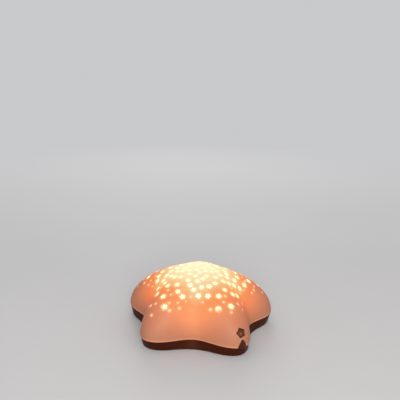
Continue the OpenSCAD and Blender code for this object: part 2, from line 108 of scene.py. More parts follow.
def lathe_verts(profile, n, centre=(0, 0, 0)):
    """Rings round Z from a profile of (r, z), which runs from the bottom's middle out and up to the top's middle."""
    return [[(centre[0] + r * math.cos(2 * math.pi * i / n), centre[1] + r * math.sin(2 * math.pi * i / n), centre[2] + z)
             for i in range(n)] for r, z in profile]


def lathe(name, profile, n=64, centre=(0, 0, 0)):
    """A closed turned body; the profile's ends lie on the axis."""
    inner = profile[1:-1]
    verts = [(centre[0], centre[1], centre[2] + profile[0][1])]
    for ring in lathe_verts(inner, n, centre):
        verts += ring
    verts.append((centre[0], centre[1], centre[2] + profile[-1][1]))
    faces, last = [], len(verts) - 1
    for i in range(n):
        k = (i + 1) % n
        faces.append((0, 1 + k, 1 + i))
        for j in range(len(inner) - 1):
            faces.append((1 + j * n + i, 1 + j * n + k, 1 + (j + 1) * n + k, 1 + (j + 1) * n + i))
        faces.append((1 + (len(inner) - 1) * n + i, 1 + (len(inner) - 1) * n + k, last))
    return mesh_from(name, verts, faces)


def loose(me, name="tool"):
    ob = bpy.data.objects.new(name, me)
    SCENE.collection.objects.link(ob)
    return ob


def block(x0, x1, y0, y1, z0, z1):
    v = [(x, y, z) for z in (z0, z1) for x, y in ((x0, y0), (x1, y0), (x1, y1), (x0, y1))]
    return mesh_from("block", v, [(3, 2, 1, 0), (4, 5, 6, 7), (0, 1, 5, 4), (1, 2, 6, 5), (2, 3, 7, 6), (3, 0, 4, 7)])


def round_block(x0, x1, y0, y1, z0, z1, r, n=6):
    pts = []
    for cx, cy, q in ((x1 - r, y1 - r, 0), (x0 + r, y1 - r, 90), (x0 + r, y0 + r, 180), (x1 - r, y0 + r, 270)):
        for i in range(n + 1):
            f = math.radians(q + 90 * i / n)
            pts.append((cx + r * math.cos(f), cy + r * math.sin(f)))
    return rings_mesh("block", [[(x, y, z) for x, y in pts] for z in (z0, z1)])


def drum(x, y, z0, z1, r, n=48):
    return rings_mesh("drum", [[(x + r * math.cos(2 * math.pi * i / n), y + r * math.sin(2 * math.pi * i / n), z) for i in range(n)] for z in (z0, z1)])


def shift(me, dx=0, dy=0, dz=0):
    me.transform(Matrix.Translation((dx * MM, dy * MM, dz * MM)))
    return me


def turned(me, matrix):
    me.transform(matrix)
    return me


def combine(target, tools, operation):
    """Applies exact booleans of many tool meshes to the target object."""
    if not tools:
        return target
    coll = bpy.data.collections.new("tools")
    SCENE.collection.children.link(coll)
    obs = []
    for me in tools:
        ob = bpy.data.objects.new("tool", me)
        coll.objects.link(ob)
        obs.append(ob)
    mod = target.modifiers.new("b", "BOOLEAN")
    mod.operation = operation
    mod.operand_type = "COLLECTION"
    mod.collection = coll
    mod.solver = "EXACT"
    mod.use_self = True
    apply_modifiers(target)
    for ob in obs:
        me = ob.data
        bpy.data.objects.remove(ob)
        bpy.data.meshes.remove(me)
    bpy.data.collections.remove(coll)
    return target


def apply_modifiers(ob):
    bpy.context.view_layer.update()
    dg = bpy.context.evaluated_depsgraph_get()
    made = bpy.data.meshes.new_from_object(ob.evaluated_get(dg))
    old = ob.data
    ob.modifiers.clear()
    ob.data = made
    bpy.data.meshes.remove(old)
    return ob


def rounded(ob, width, segments=2, angle=32):
    mod = ob.modifiers.new("r", "BEVEL")
    mod.width = width * MM
    mod.segments = segments
    mod.limit_method = "ANGLE"
    mod.angle_limit = math.radians(angle)
    mod.use_clamp_overlap = True
    mod.miter_outer = "MITER_ARC"
    apply_modifiers(ob)
    bm = bmesh.new()
    bm.from_mesh(ob.data)
    bmesh.ops.remove_doubles(bm, verts=bm.verts, dist=0.00001)
    bmesh.ops.dissolve_degenerate(bm, edges=bm.edges, dist=0.00001)
    bm.to_mesh(ob.data)
    bm.free()
    return ob


def settle(ob, name, body, materials, angle=35):
    """Makes a worked mesh into a named piece."""
    ob.name = name
    ob.data.name = name
    ob.data.materials.clear()
    for m in materials:
        ob.data.materials.append(m)
    ob.data.polygons.foreach_set("material_index", np.zeros(len(ob.data.polygons), np.int32))
    ob.data.shade_smooth()
    ob.data.set_sharp_from_angle(angle=math.radians(angle))
    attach(ob, body)
    return ob


# ------------------------------------------------------------------ materials
class Look:
    """A Principled material with a few node helpers. Patterns are in the piece's own space, in metres."""

    def __init__(self, name):
        self.m = bpy.data.materials.new(name)
        self.m.use_nodes = True
        self.t = self.m.node_tree
        self.t.nodes.clear()
        self.out = self.t.nodes.new("ShaderNodeOutputMaterial")
        self.b = self.t.nodes.new("ShaderNodeBsdfPrincipled")
        self.t.links.new(self.b.outputs["BSDF"], self.out.inputs["Surface"])
        self.tc = self.t.nodes.new("ShaderNodeTexCoord")
        self.last_bump = None

    def set(self, **values):
        for k, v in values.items():
            self.b.inputs[k.replace("_", " ")].default_value = v
        return self

    def link(self, a, b):
        self.t.links.new(a, b)

    def to(self, socket, name):
        self.t.links.new(socket, self.b.inputs[name])

    def space(self, scale=(1, 1, 1), turn=(0, 0, 0), move=(0, 0, 0)):
        n = self.t.nodes.new("ShaderNodeMapping")
        n.inputs["Scale"].default_value = scale
        n.inputs["Rotation"].default_value = turn
        n.inputs["Location"].default_value = move
        self.link(self.tc.outputs["Object"], n.inputs["Vector"])
        return n.outputs["Vector"]

    def noise(self, scale, detail=3, rough=0.55, distort=0.0, vector=None):
        n = self.t.nodes.new("ShaderNodeTexNoise")
        n.inputs["Scale"].default_value = scale
        n.inputs["Detail"].default_value = detail
        n.inputs["Roughness"].default_value = rough
        n.inputs["Distortion"].default_value = distort
        self.link(vector or self.tc.outputs["Object"], n.inputs["Vector"])
        return n.outputs["Fac"]

    def cells(self, scale, feature="F1", vector=None):
        n = self.t.nodes.new("ShaderNodeTexVoronoi")
        n.feature = feature
        n.inputs["Scale"].default_value = scale
        self.link(vector or self.tc.outputs["Object"], n.inputs["Vector"])
        return n.outputs["Distance"]

    def ramp(self, fac, stops):
        n = self.t.nodes.new("ShaderNodeValToRGB")
        e = n.color_ramp.elements
        while len(e) < len(stops):
            e.new(0.5)
        for i, (p, c) in enumerate(stops):
            e[i].position = p
            e[i].color = (*c, 1)
        self.link(fac, n.inputs["Fac"])
        return n.outputs["Color"]

    def span(self, fac, lo, hi, to_lo, to_hi):
        n = self.t.nodes.new("ShaderNodeMapRange")
        for k, v in (("From Min", lo), ("From Max", hi), ("To Min", to_lo), ("To Max", to_hi)):
            n.inputs[k].default_value = v
        self.link(fac, n.inputs["Value"])
        return n.outputs["Result"]

    def mix(self, fac, a, b, mode="MIX"):
        n = self.t.nodes.new("ShaderNodeMix")
        n.data_type = "RGBA"
        n.blend_type = mode
        n.clamp_factor = True
        for value, k in ((fac, 0), (a, 6), (b, 7)):
            if isinstance(value, (int, float)):
                n.inputs[k].default_value = value
            elif isinstance(value, tuple):
                n.inputs[k].default_value = (*value, 1)
            else:
                self.link(value, n.inputs[k])
        return n.outputs[2]

    def sum(self, a, b, op="ADD"):
        n = self.t.nodes.new("ShaderNodeMath")
        n.operation = op
        for i, v in enumerate((a, b)):
            if isinstance(v, (int, float)):
                n.inputs[i].default_value = v
            else:
                self.link(v, n.inputs[i])
        return n.outputs[0]

    def attribute(self, name):
        n = self.t.nodes.new("ShaderNodeAttribute")
        n.attribute_name = name
        return n.outputs["Fac"]

    def bump(self, height, distance, strength=1.0):
        n = self.t.nodes.new("ShaderNodeBump")
        n.inputs["Strength"].default_value = strength
        n.inputs["Distance"].default_value = distance
        self.link(height, n.inputs["Height"])
        if self.last_bump:
            self.link(self.last_bump, n.inputs["Normal"])
        self.last_bump = n.outputs["Normal"]
        self.to(self.last_bump, "Normal")
        return self


def shade(c, k):
    return tuple(max(0.0, min(1.0, x * k)) for x in c)


def moulded(name, colour, rough=0.45, grain=1300, depth=0.00002, vary=0.12, **extra):
    """Moulded plastic: faint flow marks in the colour, fine spark-erosion grain, slightly uneven gloss."""
    k = Look(name)
    flow = k.noise(38, 4, 0.6, 0.6)
    k.to(k.ramp(flow, [(0.3, shade(colour, 1 - vary)), (0.7, shade(colour, 1 + vary))]), "Base Color")
    k.to(k.span(k.noise(160, 3), 0.3, 0.7, rough - 0.05, rough + 0.06), "Roughness")
    k.bump(k.noise(grain, 2, 0.6), depth)
    k.set(IOR=1.47, **extra)
    return k


def plated(name, colour, rough=0.3, brushed=False):
    """Plated or turned metal with fine scratches."""
    k = Look(name)
    v = k.space(scale=(1, 1, 14) if brushed else (1, 1, 1))
    scratch = k.noise(900, 3, 0.7, 0.0, v)
    k.to(k.ramp(scratch, [(0.35, shade(colour, 0.82)), (0.65, shade(colour, 1.1))]), "Base Color")
    k.to(k.span(scratch, 0.3, 0.7, rough - 0.07, rough + 0.1), "Roughness")
    k.bump(scratch, 0.00001)
    k.set(Metallic=1.0)
    return k


# ---- the lit cover. Mesh attributes hold the level of the glow from rim to top, a painted halo round the windows and the painted glow spots, a painted highlight along the lip and
# the shadow round the button. Low down the base colour is painted warm for the lamp's light through the plastic, under
# the room's light; higher up the lamp's own light, painted as emission, takes over.
cover_look = Look("lit_cover")
_level = cover_look.sum(cover_look.attribute("level"), cover_look.span(cover_look.noise(26, 3, 0.55, 0.5), 0.3, 0.7, -0.012, 0.012))
_glow = cover_look.ramp(_level, [
    (0.0, (0.012, 0.0, 0.0)), (0.1, (0.03, 0.0, 0.0)), (0.207, (0.053, 0.0, 0.0)), (0.31, (0.105, 0.001, 0.0)),
    (0.414, (0.215, 0.003, 0.0)), (0.517, (0.44, 0.010, 0.0)), (0.621, (0.68, 0.050, 0.001)), (0.724, (0.85, 0.168, 0.006)),
    (0.828, (0.90, 0.40, 0.074)), (0.931, (0.92, 0.62, 0.185)), (1.0, (0.925, 0.71, 0.26))])
# painted light: this base colour is painted warm low down, standing in for the lamp's light through the plastic, and
# darker higher up, where the emission carries the lamp's light
_painted_warm_base = cover_look.ramp(_level, [
    (0.0, (0.375, 0.160, 0.091)), (0.1, (0.408, 0.160, 0.088)), (0.207, (0.430, 0.172, 0.089)), (0.31, (0.455, 0.185, 0.091)),
    (0.414, (0.440, 0.198, 0.094)), (0.517, (0.344, 0.208, 0.088)), (0.621, (0.19, 0.184, 0.083)), (0.724, (0.07, 0.116, 0.080)),
    (0.828, (0.02, 0.079, 0.118)), (0.931, (0.02, 0.068, 0.165)), (1.0, (0.02, 0.025, 0.135))])
# painted highlight: a pale line is painted into the emission along the lip's lowest edge, standing in for light caught
# on the lip
_glow = cover_look.mix(cover_look.sum(cover_look.attribute("rim"), 0.32, "MULTIPLY"), _glow, (0.62, 0.27, 0.15))
# painted halo: a soft glow painted into the emission round every window and on the painted glow spots
_glow = cover_look.mix(cover_look.attribute("painted_halo"), _glow, (1.0, 0.80, 0.40))
_glow = cover_look.mix(cover_look.attribute("shadow"), _glow, (0.012, 0.003, 0.002))
cover_look.to(_glow, "Emission Color")
cover_look.to(cover_look.mix(cover_look.attribute("shadow"), _painted_warm_base, (0.05, 0.02, 0.012)), "Base Color")
cover_look.to(cover_look.span(cover_look.noise(150, 3), 0.3, 0.7, 0.40, 0.50), "Roughness")
cover_look.bump(cover_look.noise(1500, 2, 0.6), 0.000012)
cover_look.set(Emission_Strength=1.0, IOR=1.49, Specular_IOR_Level=0.12)

edge_look = Look("lit_window_edge")
edge_look.to(edge_look.ramp(edge_look.noise(700, 2), [(0.3, (1.0, 0.80, 0.38)), (0.7, (1.0, 0.86, 0.46))]), "Emission Color")
edge_look.to(edge_look.ramp(edge_look.noise(300, 2), [(0.3, (0.42, 0.30, 0.2)), (0.7, (0.5, 0.36, 0.24))]), "Base Color")
edge_look.set(Emission_Strength=1.0, Roughness=0.4)

liner_look = Look("lit_liner")
_d = liner_look.attribute("lamp")
_n = liner_look.noise(900, 3, 0.6)
_ramp = liner_look.ramp(liner_look.sum(_d, liner_look.span(_n, 0.3, 0.7, -0.03, 0.03)), [
    (0.0, (1.0, 0.76, 0.36)), (0.4, (1.0, 0.86, 0.45)), (0.8, (1.0, 0.92, 0.54)), (1.0, (1.0, 0.95, 0.60))])
liner_look.to(_ramp, "Emission Color")
liner_look.to(liner_look.ramp(_n, [(0.3, (0.5, 0.42, 0.3)), (0.7, (0.58, 0.5, 0.36))]), "Base Color")
liner_look.bump(_n, 0.00003)
liner_look.set(Emission_Strength=1.15, Roughness=0.25)

base_look = moulded("dark_base", (0.036, 0.0064, 0.003), rough=0.46, grain=1100, depth=0.00003, vary=0.10, Specular_IOR_Level=0.14, Specular_Tint=(1.0, 0.55, 0.35, 1.0))
tongue_look = moulded("dark_base_polished", (0.036, 0.0064, 0.003), rough=0.32, grain=1500, depth=0.00001, vary=0.10, Specular_IOR_Level=0.45, Specular_Tint=(1.0, 0.55, 0.32, 1.0))
button_look = Look("button_cap")                   # "crown" is 1 on the cap's face and 0 down its sides
_cap = button_look.ramp(button_look.noise(60, 4, 0.6, 0.4), [(0.3, (0.066, 0.017, 0.009)), (0.7, (0.084, 0.023, 0.012))])
# painted shade: the cap's sides, fillet and flange are painted near-black, standing in for the shade in the gap round
# the cap; its face keeps the cap colour
button_look.to(button_look.mix(button_look.attribute("unshaded_face"), (0.009, 0.002, 0.001), _cap), "Base Color")
button_look.to(button_look.span(button_look.noise(160, 3), 0.3, 0.7, 0.26, 0.34), "Roughness")
button_look.bump(button_look.noise(1500, 2, 0.6), 0.00001)
# painted light: a warm glow patch is painted into the cap's emission below and beside its middle, where the lamp would
# show through the cap
button_look.to(button_look.ramp(button_look.attribute("painted_cap_glow"), [(0.0, (0.0, 0.0, 0.0)), (0.5, (0.055, 0.022, 0.007)), (1.0, (0.17, 0.085, 0.030))]), "Emission Color")
button_look.set(Emission_Strength=1.0, IOR=1.49, Specular_IOR_Level=0.4, Specular_Tint=(1.0, 0.6, 0.4, 1.0))
light_look = moulded("pale_moulding", (0.72, 0.71, 0.67), rough=0.5)
plunger_look = moulded("plunger_moulding", (0.62, 0.58, 0.5), rough=0.45)
black_look = moulded("black_moulding", (0.016, 0.016, 0.018), rough=0.4)
chip_look = moulded("chip_epoxy", (0.014, 0.014, 0.015), rough=0.55, grain=2600)
red_wire_look = moulded("red_wire_sleeve", (0.42, 0.018, 0.014), rough=0.38)
black_wire_look = moulded("black_wire_sleeve", (0.013, 0.013, 0.014), rough=0.38)
steel_look = plated("zinc_plate", (0.62, 0.63, 0.65), 0.3)
nickel_look = plated("nickel_plate", (0.72, 0.69, 0.62), 0.24, brushed=True)
brass_look = plated("turned_brass", (0.70, 0.50, 0.20), 0.28)

rubber_look = Look("foot_rubber")
rubber_look.to(rubber_look.ramp(rubber_look.noise(420, 4), [(0.3, (0.012, 0.010, 0.009)), (0.7, (0.026, 0.022, 0.020))]), "Base Color")
rubber_look.to(rubber_look.span(rubber_look.noise(900, 3), 0.3, 0.7, 0.72, 0.86), "Roughness")
rubber_look.bump(rubber_look.noise(1900, 2, 0.7), 0.00004)
rubber_look.set(IOR=1.5)


def board(name, mask, copper):
    """Printed board: solder mask over a grid of tracks, with a faint weave of the laminate."""
    k = Look(name)
    v = k.space(turn=(0, 0, 0.0))
    tracks = k.cells(260, "DISTANCE_TO_EDGE", v)
    line = k.span(tracks, 0.06, 0.10, 1.0, 0.0)
    k.to(k.mix(line, mask, copper), "Base Color")
    k.bump(line, 0.00004)
    k.bump(k.noise(2200, 2), 0.00001)
    k.to(k.span(k.noise(500, 2), 0.3, 0.7, 0.28, 0.4), "Roughness")
    k.set(IOR=1.5)
    return k


green_look = board("green_board", (0.012, 0.09, 0.03), (0.03, 0.17, 0.06))
white_look = board("white_board", (0.72, 0.72, 0.68), (0.62, 0.62, 0.58))

can_look = Look("capacitor_sleeve")
_cz = can_look.space(scale=(1, 1, 1))
can_look.to(can_look.ramp(can_look.noise(260, 3), [(0.3, (0.012, 0.02, 0.11)), (0.7, (0.02, 0.03, 0.16))]), "Base Color")
can_look.to(can_look.span(can_look.noise(800, 2), 0.3, 0.7, 0.2, 0.34), "Roughness")
can_look.bump(can_look.noise(600, 3), 0.00003)

led_look = Look("led_resin")
led_look.to(led_look.ramp(led_look.noise(300, 2), [(0.3, (1.0, 0.42, 0.12)), (0.7, (1.0, 0.55, 0.2))]), "Emission Color")
led_look.to(led_look.ramp(led_look.noise(500, 2), [(0.3, (0.9, 0.5, 0.25)), (0.7, (1.0, 0.6, 0.32))]), "Base Color")
led_look.set(Emission_Strength=1.5, Roughness=0.12)

lens_look = Look("clear_lens")
lens_look.to(lens_look.ramp(lens_look.noise(120, 3), [(0.3, (0.88, 0.9, 0.93)), (0.7, (0.95, 0.96, 0.98))]), "Base Color")
lens_look.to(lens_look.span(lens_look.noise(500, 2), 0.3, 0.7, 0.03, 0.08), "Roughness")
lens_look.set(Transmission_Weight=0.85, IOR=1.49)

cell_look = Look("cell_sleeve")
_sleeve = cell_look.attribute("along")
_band = cell_look.ramp(_sleeve, [(0.0, (0.16, 0.165, 0.175)), (0.715, (0.17, 0.175, 0.185)), (0.725, (0.50, 0.30, 0.11)), (0.965, (0.55, 0.33, 0.12))])
_fine = cell_look.noise(700, 3)
cell_look.to(cell_look.mix(cell_look.span(_fine, 0.3, 0.7, 0.0, 0.25), _band, (0.30, 0.28, 0.25)), "Base Color")
cell_look.to(cell_look.span(cell_look.noise(240, 3), 0.3, 0.7, 0.24, 0.36), "Roughness")
cell_look.bump(_fine, 0.00001)
cell_look.set(Metallic=0.55, Coat_Weight=0.5, Coat_Roughness=0.15)


# ------------------------------------------------------------------ the cover's skin
LIP = 0.02      # how far past 1 the skin's parameter runs round the lip
SCALE = 100.0   # parameter plane to about millimetres


def skin(u, v, inside=False):
    """Point of the cover for a place (u, v) in the parameter plane: 0 at the top, radius 1 at the widest level."""
    rho = np.hypot(u, v)
    a = np.arctan2(v, u)
    o = outline(a)
    f = np.clip(rho, 0, 1) * (np.pi / 2)
    s = np.sin(f) ** (2 / DN)
    t = WALL if inside else 0.0
    r = s * (CORE_R - t + (o - CORE_R) * s ** BLEND)
    z = BULGE_Z + (DOME_H - t) * np.maximum(np.cos(f), 0) ** (2 * DM)
    tau = np.clip((rho - 1) / LIP, 0, 1) * (np.pi / 2)
    z = z - (BULGE_Z - RIM_Z) * np.sin(tau)
    if not inside:
        r = r - TUCK * (1 - np.cos(tau))
    return np.stack([r * np.cos(a), r * np.sin(a) + CY, z], -1)


def skin_frame(u, v, inside=False):
    """Point, unit normal and the two derivatives at (u, v)."""
    e = 2e-5
    p = skin(u, v, inside)
    du = (skin(u + e, v, inside) - skin(u - e, v, inside)) / (2 * e)
    dv = (skin(u, v + e, inside) - skin(u, v - e, inside)) / (2 * e)
    n = np.cross(du, dv)
    n /= np.linalg.norm(n, axis=-1, keepdims=True) + 1e-12
    return p, n, du, dv


def smooth_normal(u, v, inside=False):
    """Normals from both sides of the parameter's kinks at the top and at the widest level."""
    rho = np.hypot(u, v)
    n = skin_frame(u, v, inside)[1]
    near = np.abs(rho - 1) < 2e-4
    if np.any(near):
        k = 1 - 6e-4
        n = np.where(near[:, None], skin_frame(u * k, v * k, inside)[1], n)
    n = np.where((rho < 2e-3)[:, None], np.array([0, 0, 1.0]), n)
    if not inside:
        n = np.where((rho > 1 + LIP * 0.995)[:, None], np.array([0, 0, -1.0]), n)
    return n


def uv_for(origin, e1, e2, xy, u0, v0, rounds=8):
    """Places in the parameter plane whose skin points have these coordinates along e1 and e2 from origin."""
    xy = np.asarray(xy, float)
    u = np.full(len(xy), float(u0))
    v = np.full(len(xy), float(v0))
    for _ in range(rounds):
        p, _n, du, dv = skin_frame(u, v)
        d = p - origin
        rx, ry = xy[:, 0] - d @ e1, xy[:, 1] - d @ e2
        a, b, c, e = du @ e1, dv @ e1, du @ e2, dv @ e2
        det = a * e - b * c
        u = u + (e * rx - b * ry) / det
        v = v + (-c * rx + a * ry) / det
    return u, v


def s_to_rho(s):
    return np.arcsin(np.clip(s, 0, 1) ** (DN / 2)) / (np.pi / 2)


def rounded_corners(corners, share, n=4):
    out = []
    m = len(corners)
    for i in range(m):
        p, a, b = corners[i], corners[i - 1], corners[(i + 1) % m]
        f = share[i % len(share)]
        q0, q1 = p + (a - p) * f, p + (b - p) * f
        for k in range(n):
            t = k / (n - 1)
            out.append((1 - t) ** 2 * q0 + 2 * t * (1 - t) * p + t * t * q1)
    return np.array(out)


def star_loop(r, turn=0.0, inner=0.52, n=4):
    c = [np.array([math.cos(math.radians(36 * i) + turn), math.sin(math.radians(36 * i) + turn)]) * (r if i % 2 == 0 else r * inner) for i in range(10)]
    return rounded_corners(c, (0.16, 0.22), n)


def dot_loop(r, n=18):
    return np.array([[r * math.cos(2 * math.pi * i / n), r * math.sin(2 * math.pi * i / n)] for i in range(n)])


def moon_loop(r):
    """Crescent: an outer arc and a shallower inner one."""
    out = [[r * math.cos(f), r * math.sin(f)] for f in np.radians(np.linspace(58, 302, 19))]
    c, q = 0.62 * r, math.hypot(r * math.cos(math.radians(58)) - 0.62 * r, r * math.sin(math.radians(58)))
    f0 = math.atan2(r * math.sin(math.radians(58)), r * math.cos(math.radians(58)) - c)
    inn = [[c + q * math.cos(f), q * math.sin(f)] for f in np.linspace(2 * math.pi - f0, f0, 15)[1:-1]]
    return np.array(out + inn)


def grown(loop, d):
    """The loop moved outward by d, for a loop that runs anticlockwise."""
    a, b = np.roll(loop, 1, 0), np.roll(loop, -1, 0)
    t0, t1 = loop - a, b - loop
    t0 /= np.linalg.norm(t0, axis=1, keepdims=True) + 1e-12
    t1 /= np.linalg.norm(t1, axis=1, keepdims=True) + 1e-12
    n0, n1 = np.stack([t0[:, 1], -t0[:, 0]], 1), np.stack([t1[:, 1], -t1[:, 0]], 1)
    m = n0 + n1
    m /= np.linalg.norm(m, axis=1, keepdims=True) + 1e-12
    return loop + m * d / np.maximum(0.55, (m * n0).sum(1))[:, None]


# ---- the windows: the same large ones as in the CAD, and smaller painted glow spots between them, with no hole
def window_list():
    found = []
    for i in range(WINDOWS):
        a = math.radians(i * 137.508 + 304)
        s = 0.06 + (0.75 + 0.065 * math.cos(5 * (a + math.pi / 2))) * ((i + 0.5) / WINDOWS) ** 0.62
        if i == CRESCENT:
            found.append(["moon", a, s, 2.6])
        else:
            found.append(["star", a, s, 2.3 + 0.45 * i / WINDOWS + 0.4 * ((i * 7) % 5) / 4])
    return found


def painted_glow_spots(windows):
    """Painted glow spots between the windows, with no hole and no thinner wall behind them: place, radius, strength,
    uv.
    """
    centres = [skin_of(a, s) for _, a, s, _ in windows]
    radii = [w[3] for w in windows]
    spots = []
    for i in range(240):
        a = math.radians(i * 137.508 + 101)
        s = 0.30 + (0.57 + 0.07 * math.cos(5 * (a + math.pi / 2))) * ((i + 0.5) / 240) ** 0.5
        p = skin_of(a, s)
        if p[2] < 36 or (p[2] < 42 and abs(p[0]) < 10 and p[1] < 0):        # none low down or beside the button
            continue
        if all(np.linalg.norm(p - q) > t + 3.4 for q, t in zip(centres, radii)):
            centres.append(p)
            radii.append(2.2)
            rho = float(s_to_rho(s))
            bright = p[2] < 57
            spots.append((p, (1.15 if bright else 0.9) + 0.45 * ((i * 3) % 4) / 3, 0.78 - 0.2 * (i % 3 == 0) if bright else 0.3, rho * math.cos(a), rho * math.sin(a)))
    return spots


def skin_of(a, s):
    rho = float(s_to_rho(s))
    return skin(np.array([rho * math.cos(a)]), np.array([rho * math.sin(a)]))[0]


def cover_mesh():
    edge = 0.28                                    # rounding of every edge
    holes = []                                     # (uv of the grown loop, uv of the true loop, centre, reach)
    windows = window_list()
    for kind, a, s, r in windows:
        rho = float(s_to_rho(s))
        u0, v0 = rho * math.cos(a), rho * math.sin(a)
        p, n, du, dv = (x[0] for x in skin_frame(np.array([u0]), np.array([v0])))
        down = du * math.cos(a) + dv * math.sin(a)
        down /= np.linalg.norm(down)
        side = np.cross(n, down)
        loop = star_loop(r) if kind == "star" else moon_loop(r)
        e = edge if kind == "star" else 0.2
        big = grown(loop, e)
        holes.append((uv_for(p, down, side, big, u0, v0), uv_for(p, down, side, loop, u0, v0), p, r + e, e))
    # the button's hole
    ex, ey, ez = np.array([1.0, 0, 0]), np.array([0, math.cos(TILT), math.sin(TILT)]), np.array([0, -math.sin(TILT), math.cos(TILT)])
    origin = np.array([0, CY - BUTTON_Y, BUTTON_Z])
    f = np.linspace(0, 2 * np.pi, 100, endpoint=False)
    rr = BUTTON_R + GAP + POINTS * np.cos(5 * (f - np.pi / 2 - BUTTON_TURN))
    loop = np.stack([rr * np.cos(f), rr * np.sin(f)], 1)
    holes.append((uv_for(origin, ex, ey, grown(loop, 0.22), 0, -0.86), uv_for(origin, ex, ey, loop, 0, -0.86), origin, 5.7, 0.22))

    # the tongue's notch, from the rim up and over, in x and z
    def notch(half, top, n=26):
        f = np.radians(np.linspace(0, 90, n))
        f = f[f > np.radians(8)]
        x = half * np.cos(f) ** 1.1
        z = RIM_Z + (top - RIM_Z) * np.sin(f) ** 2
        leg = np.array([RIM_Z, RIM_Z + 0.05])
        xs = np.concatenate([np.full(len(leg), half), x])
        zs = np.concatenate([leg, z])
        xs[-1] = 0.0
        return np.concatenate([-xs, xs[:-1][::-1]]), np.concatenate([zs, zs[:-1][::-1]])

    def notch_uv(x, z):
        rho = np.where(z >= BULGE_Z, np.arccos(np.clip((z - BULGE_Z) / DOME_H, 0, 1) ** (1 / (2 * DM))) / (np.pi / 2),
                       1 + LIP * np.arcsin(np.clip((BULGE_Z - z) / (BULGE_Z - RIM_Z), 0, 1)) / (np.pi / 2))
        a = np.full(len(x), -np.pi / 2)
        for _ in range(12):
            p = skin(rho * np.cos(a), rho * np.sin(a))
            r = np.hypot(p[:, 0], p[:, 1] - CY)
            a = -np.pi / 2 + np.arcsin(x / r)
        return rho * np.cos(a), rho * np.sin(a)

    half, top = TONGUE_HALF + NOTCH_GAP, TONGUE_TOP + NOTCH_GAP
    nx, nz = notch(half, top)
    gx, gz = notch(half + edge, top + edge)
    n_true, n_big = notch_uv(nx, nz), notch_uv(gx, gz)

    # points: rings that get closer together at the lip, left out near every hole
    rmax = 1 + LIP
    rings = [(k / 64, max(6, int(round(2 * math.pi * SCALE * (k / 64) / 1.75)))) for k in range(1, 64)]
    pts = [(0.0, 0.0)]
    for j, (rho, n) in enumerate(rings):
        for i in range(n):
            f = 2 * math.pi * (i + 0.5 * (j % 2)) / n
            pts.append((rho * math.cos(f), rho * math.sin(f)))
    nrim = 400
    for rho in (1.0, 1 + LIP * 0.3, 1 + LIP * 0.6, 1 + LIP * 0.82):
        for i in range(nrim):
            f = 2 * math.pi * (i + 0.5) / nrim
            pts.append((rho * math.cos(f), rho * math.sin(f)))
    pts = np.array(pts)
    p3 = skin(pts[:, 0], pts[:, 1])
    keep = np.ones(len(pts), bool)
    for _b, _t, c, reach, _e in holes:
        keep &= np.linalg.norm(p3 - c, axis=1) > reach + 0.75
    keep &= ~((p3[:, 1] < CY - 60) & (np.abs(p3[:, 0]) < half + 0.8) & (p3[:, 2] < top + 0.9))
    # finer rings round each painted glow spot
    spots = painted_glow_spots(windows)
    finer = []
    for c, _r, _k, u0, v0 in spots:
        keep &= np.linalg.norm(p3 - c, axis=1) > 2.5
        _p, n, du, _dv = skin_frame(np.array([u0]), np.array([v0]))
        e1 = du[0] / np.linalg.norm(du[0])
        e2 = np.cross(n[0], e1)
        xy = [(0.0, 0.0)] + [(q * math.cos(2 * math.pi * (i + 0.5 * j) / m), q * math.sin(2 * math.pi * (i + 0.5 * j) / m))
                             for j, (q, m) in enumerate(((0.5, 6), (1.0, 12), (1.5, 14), (2.1, 14))) for i in range(m)]
        u, v = uv_for(c, e1, e2, xy, u0, v0)
        finer.append(np.stack([u, v], 1))
    pts = np.concatenate([pts[keep]] + finer)
    # the outermost ring, open at the notch
    a_left = math.atan2(n_big[1][0], n_big[0][0]) % (2 * math.pi)
    a_right = math.atan2(n_big[1][-1], n_big[0][-1]) % (2 * math.pi)
    ring = [2 * math.pi * (i + 0.5) / nrim for i in range(-nrim // 4, nrim - nrim // 4)]
    ring = [f for f in ring if a_right + 0.004 < f % (2 * math.pi) + (0 if f % (2 * math.pi) > a_right else 2 * math.pi) < a_left + 2 * math.pi - 0.004]
    ring = sorted(((f % (2 * math.pi)) + (0 if f % (2 * math.pi) > a_right else 2 * math.pi) for f in ring))
    ring_uv = np.array([(rmax * math.cos(f), rmax * math.sin(f)) for f in ring])

    # gather everything for the triangulation
    coords, edges, loops = [tuple(p * SCALE) for p in pts], [], []

    def add_loop(uv):
        first = len(coords)
        coords.extend((float(a) * SCALE, float(b) * SCALE) for a, b in uv)
        ids = list(range(first, len(coords)))
        edges.extend((ids[i], ids[(i + 1) % len(ids)]) for i in range(len(ids)))
        loops.append(ids)
        return ids

    hole_ids = [add_loop(np.stack(h[0], 1)) for h in holes]
    border_uv = np.concatenate([ring_uv, np.stack(n_big, 1)])
    border_ids = add_loop(border_uv)
    out = delaunay_2d_cdt([Vector(c) for c in coords], edges, [], 0, 1e-6, True)
    ov, ofaces, orig = out[0], out[2], out[3]
    where = {}
    for k, ids in enumerate(orig):
        for i in ids:
            where[i] = k
    uv = np.array([(p[0], p[1]) for p in ov]) / SCALE
    tri = np.array([list(f) for f in ofaces], int)
    cen = uv[tri].mean(1)

    def inside_poly(points, poly):
        x, y = points[:, 0], points[:, 1]
        hit = np.zeros(len(points), bool)
        px, py = poly[:, 0], poly[:, 1]
        qx, qy = np.roll(px, -1), np.roll(py, -1)
        for a, b, c, d in zip(px, py, qx, qy):
            m = (b > y) != (d > y)
            if not m.any():
                continue
            xi = a + (y - b) * (c - a) / ((d - b) if d != b else 1e-12)
            hit ^= m & (x < xi)
        return hit

    drop = ~inside_poly(cen, border_uv)
    for ids in hole_ids:
        poly = np.array([coords[i] for i in ids]) / SCALE
        lo, hi = poly.min(0), poly.max(0)
        near = np.where(((cen >= lo) & (cen <= hi)).all(1))[0]
        drop[near[inside_poly(cen[near], poly)]] = True
    tri = tri[~drop]
    flip = np.cross(uv[tri[:, 1]] - uv[tri[:, 0]], uv[tri[:, 2]] - uv[tri[:, 0]]) < 0
    tri[flip] = tri[flip][:, ::-1]

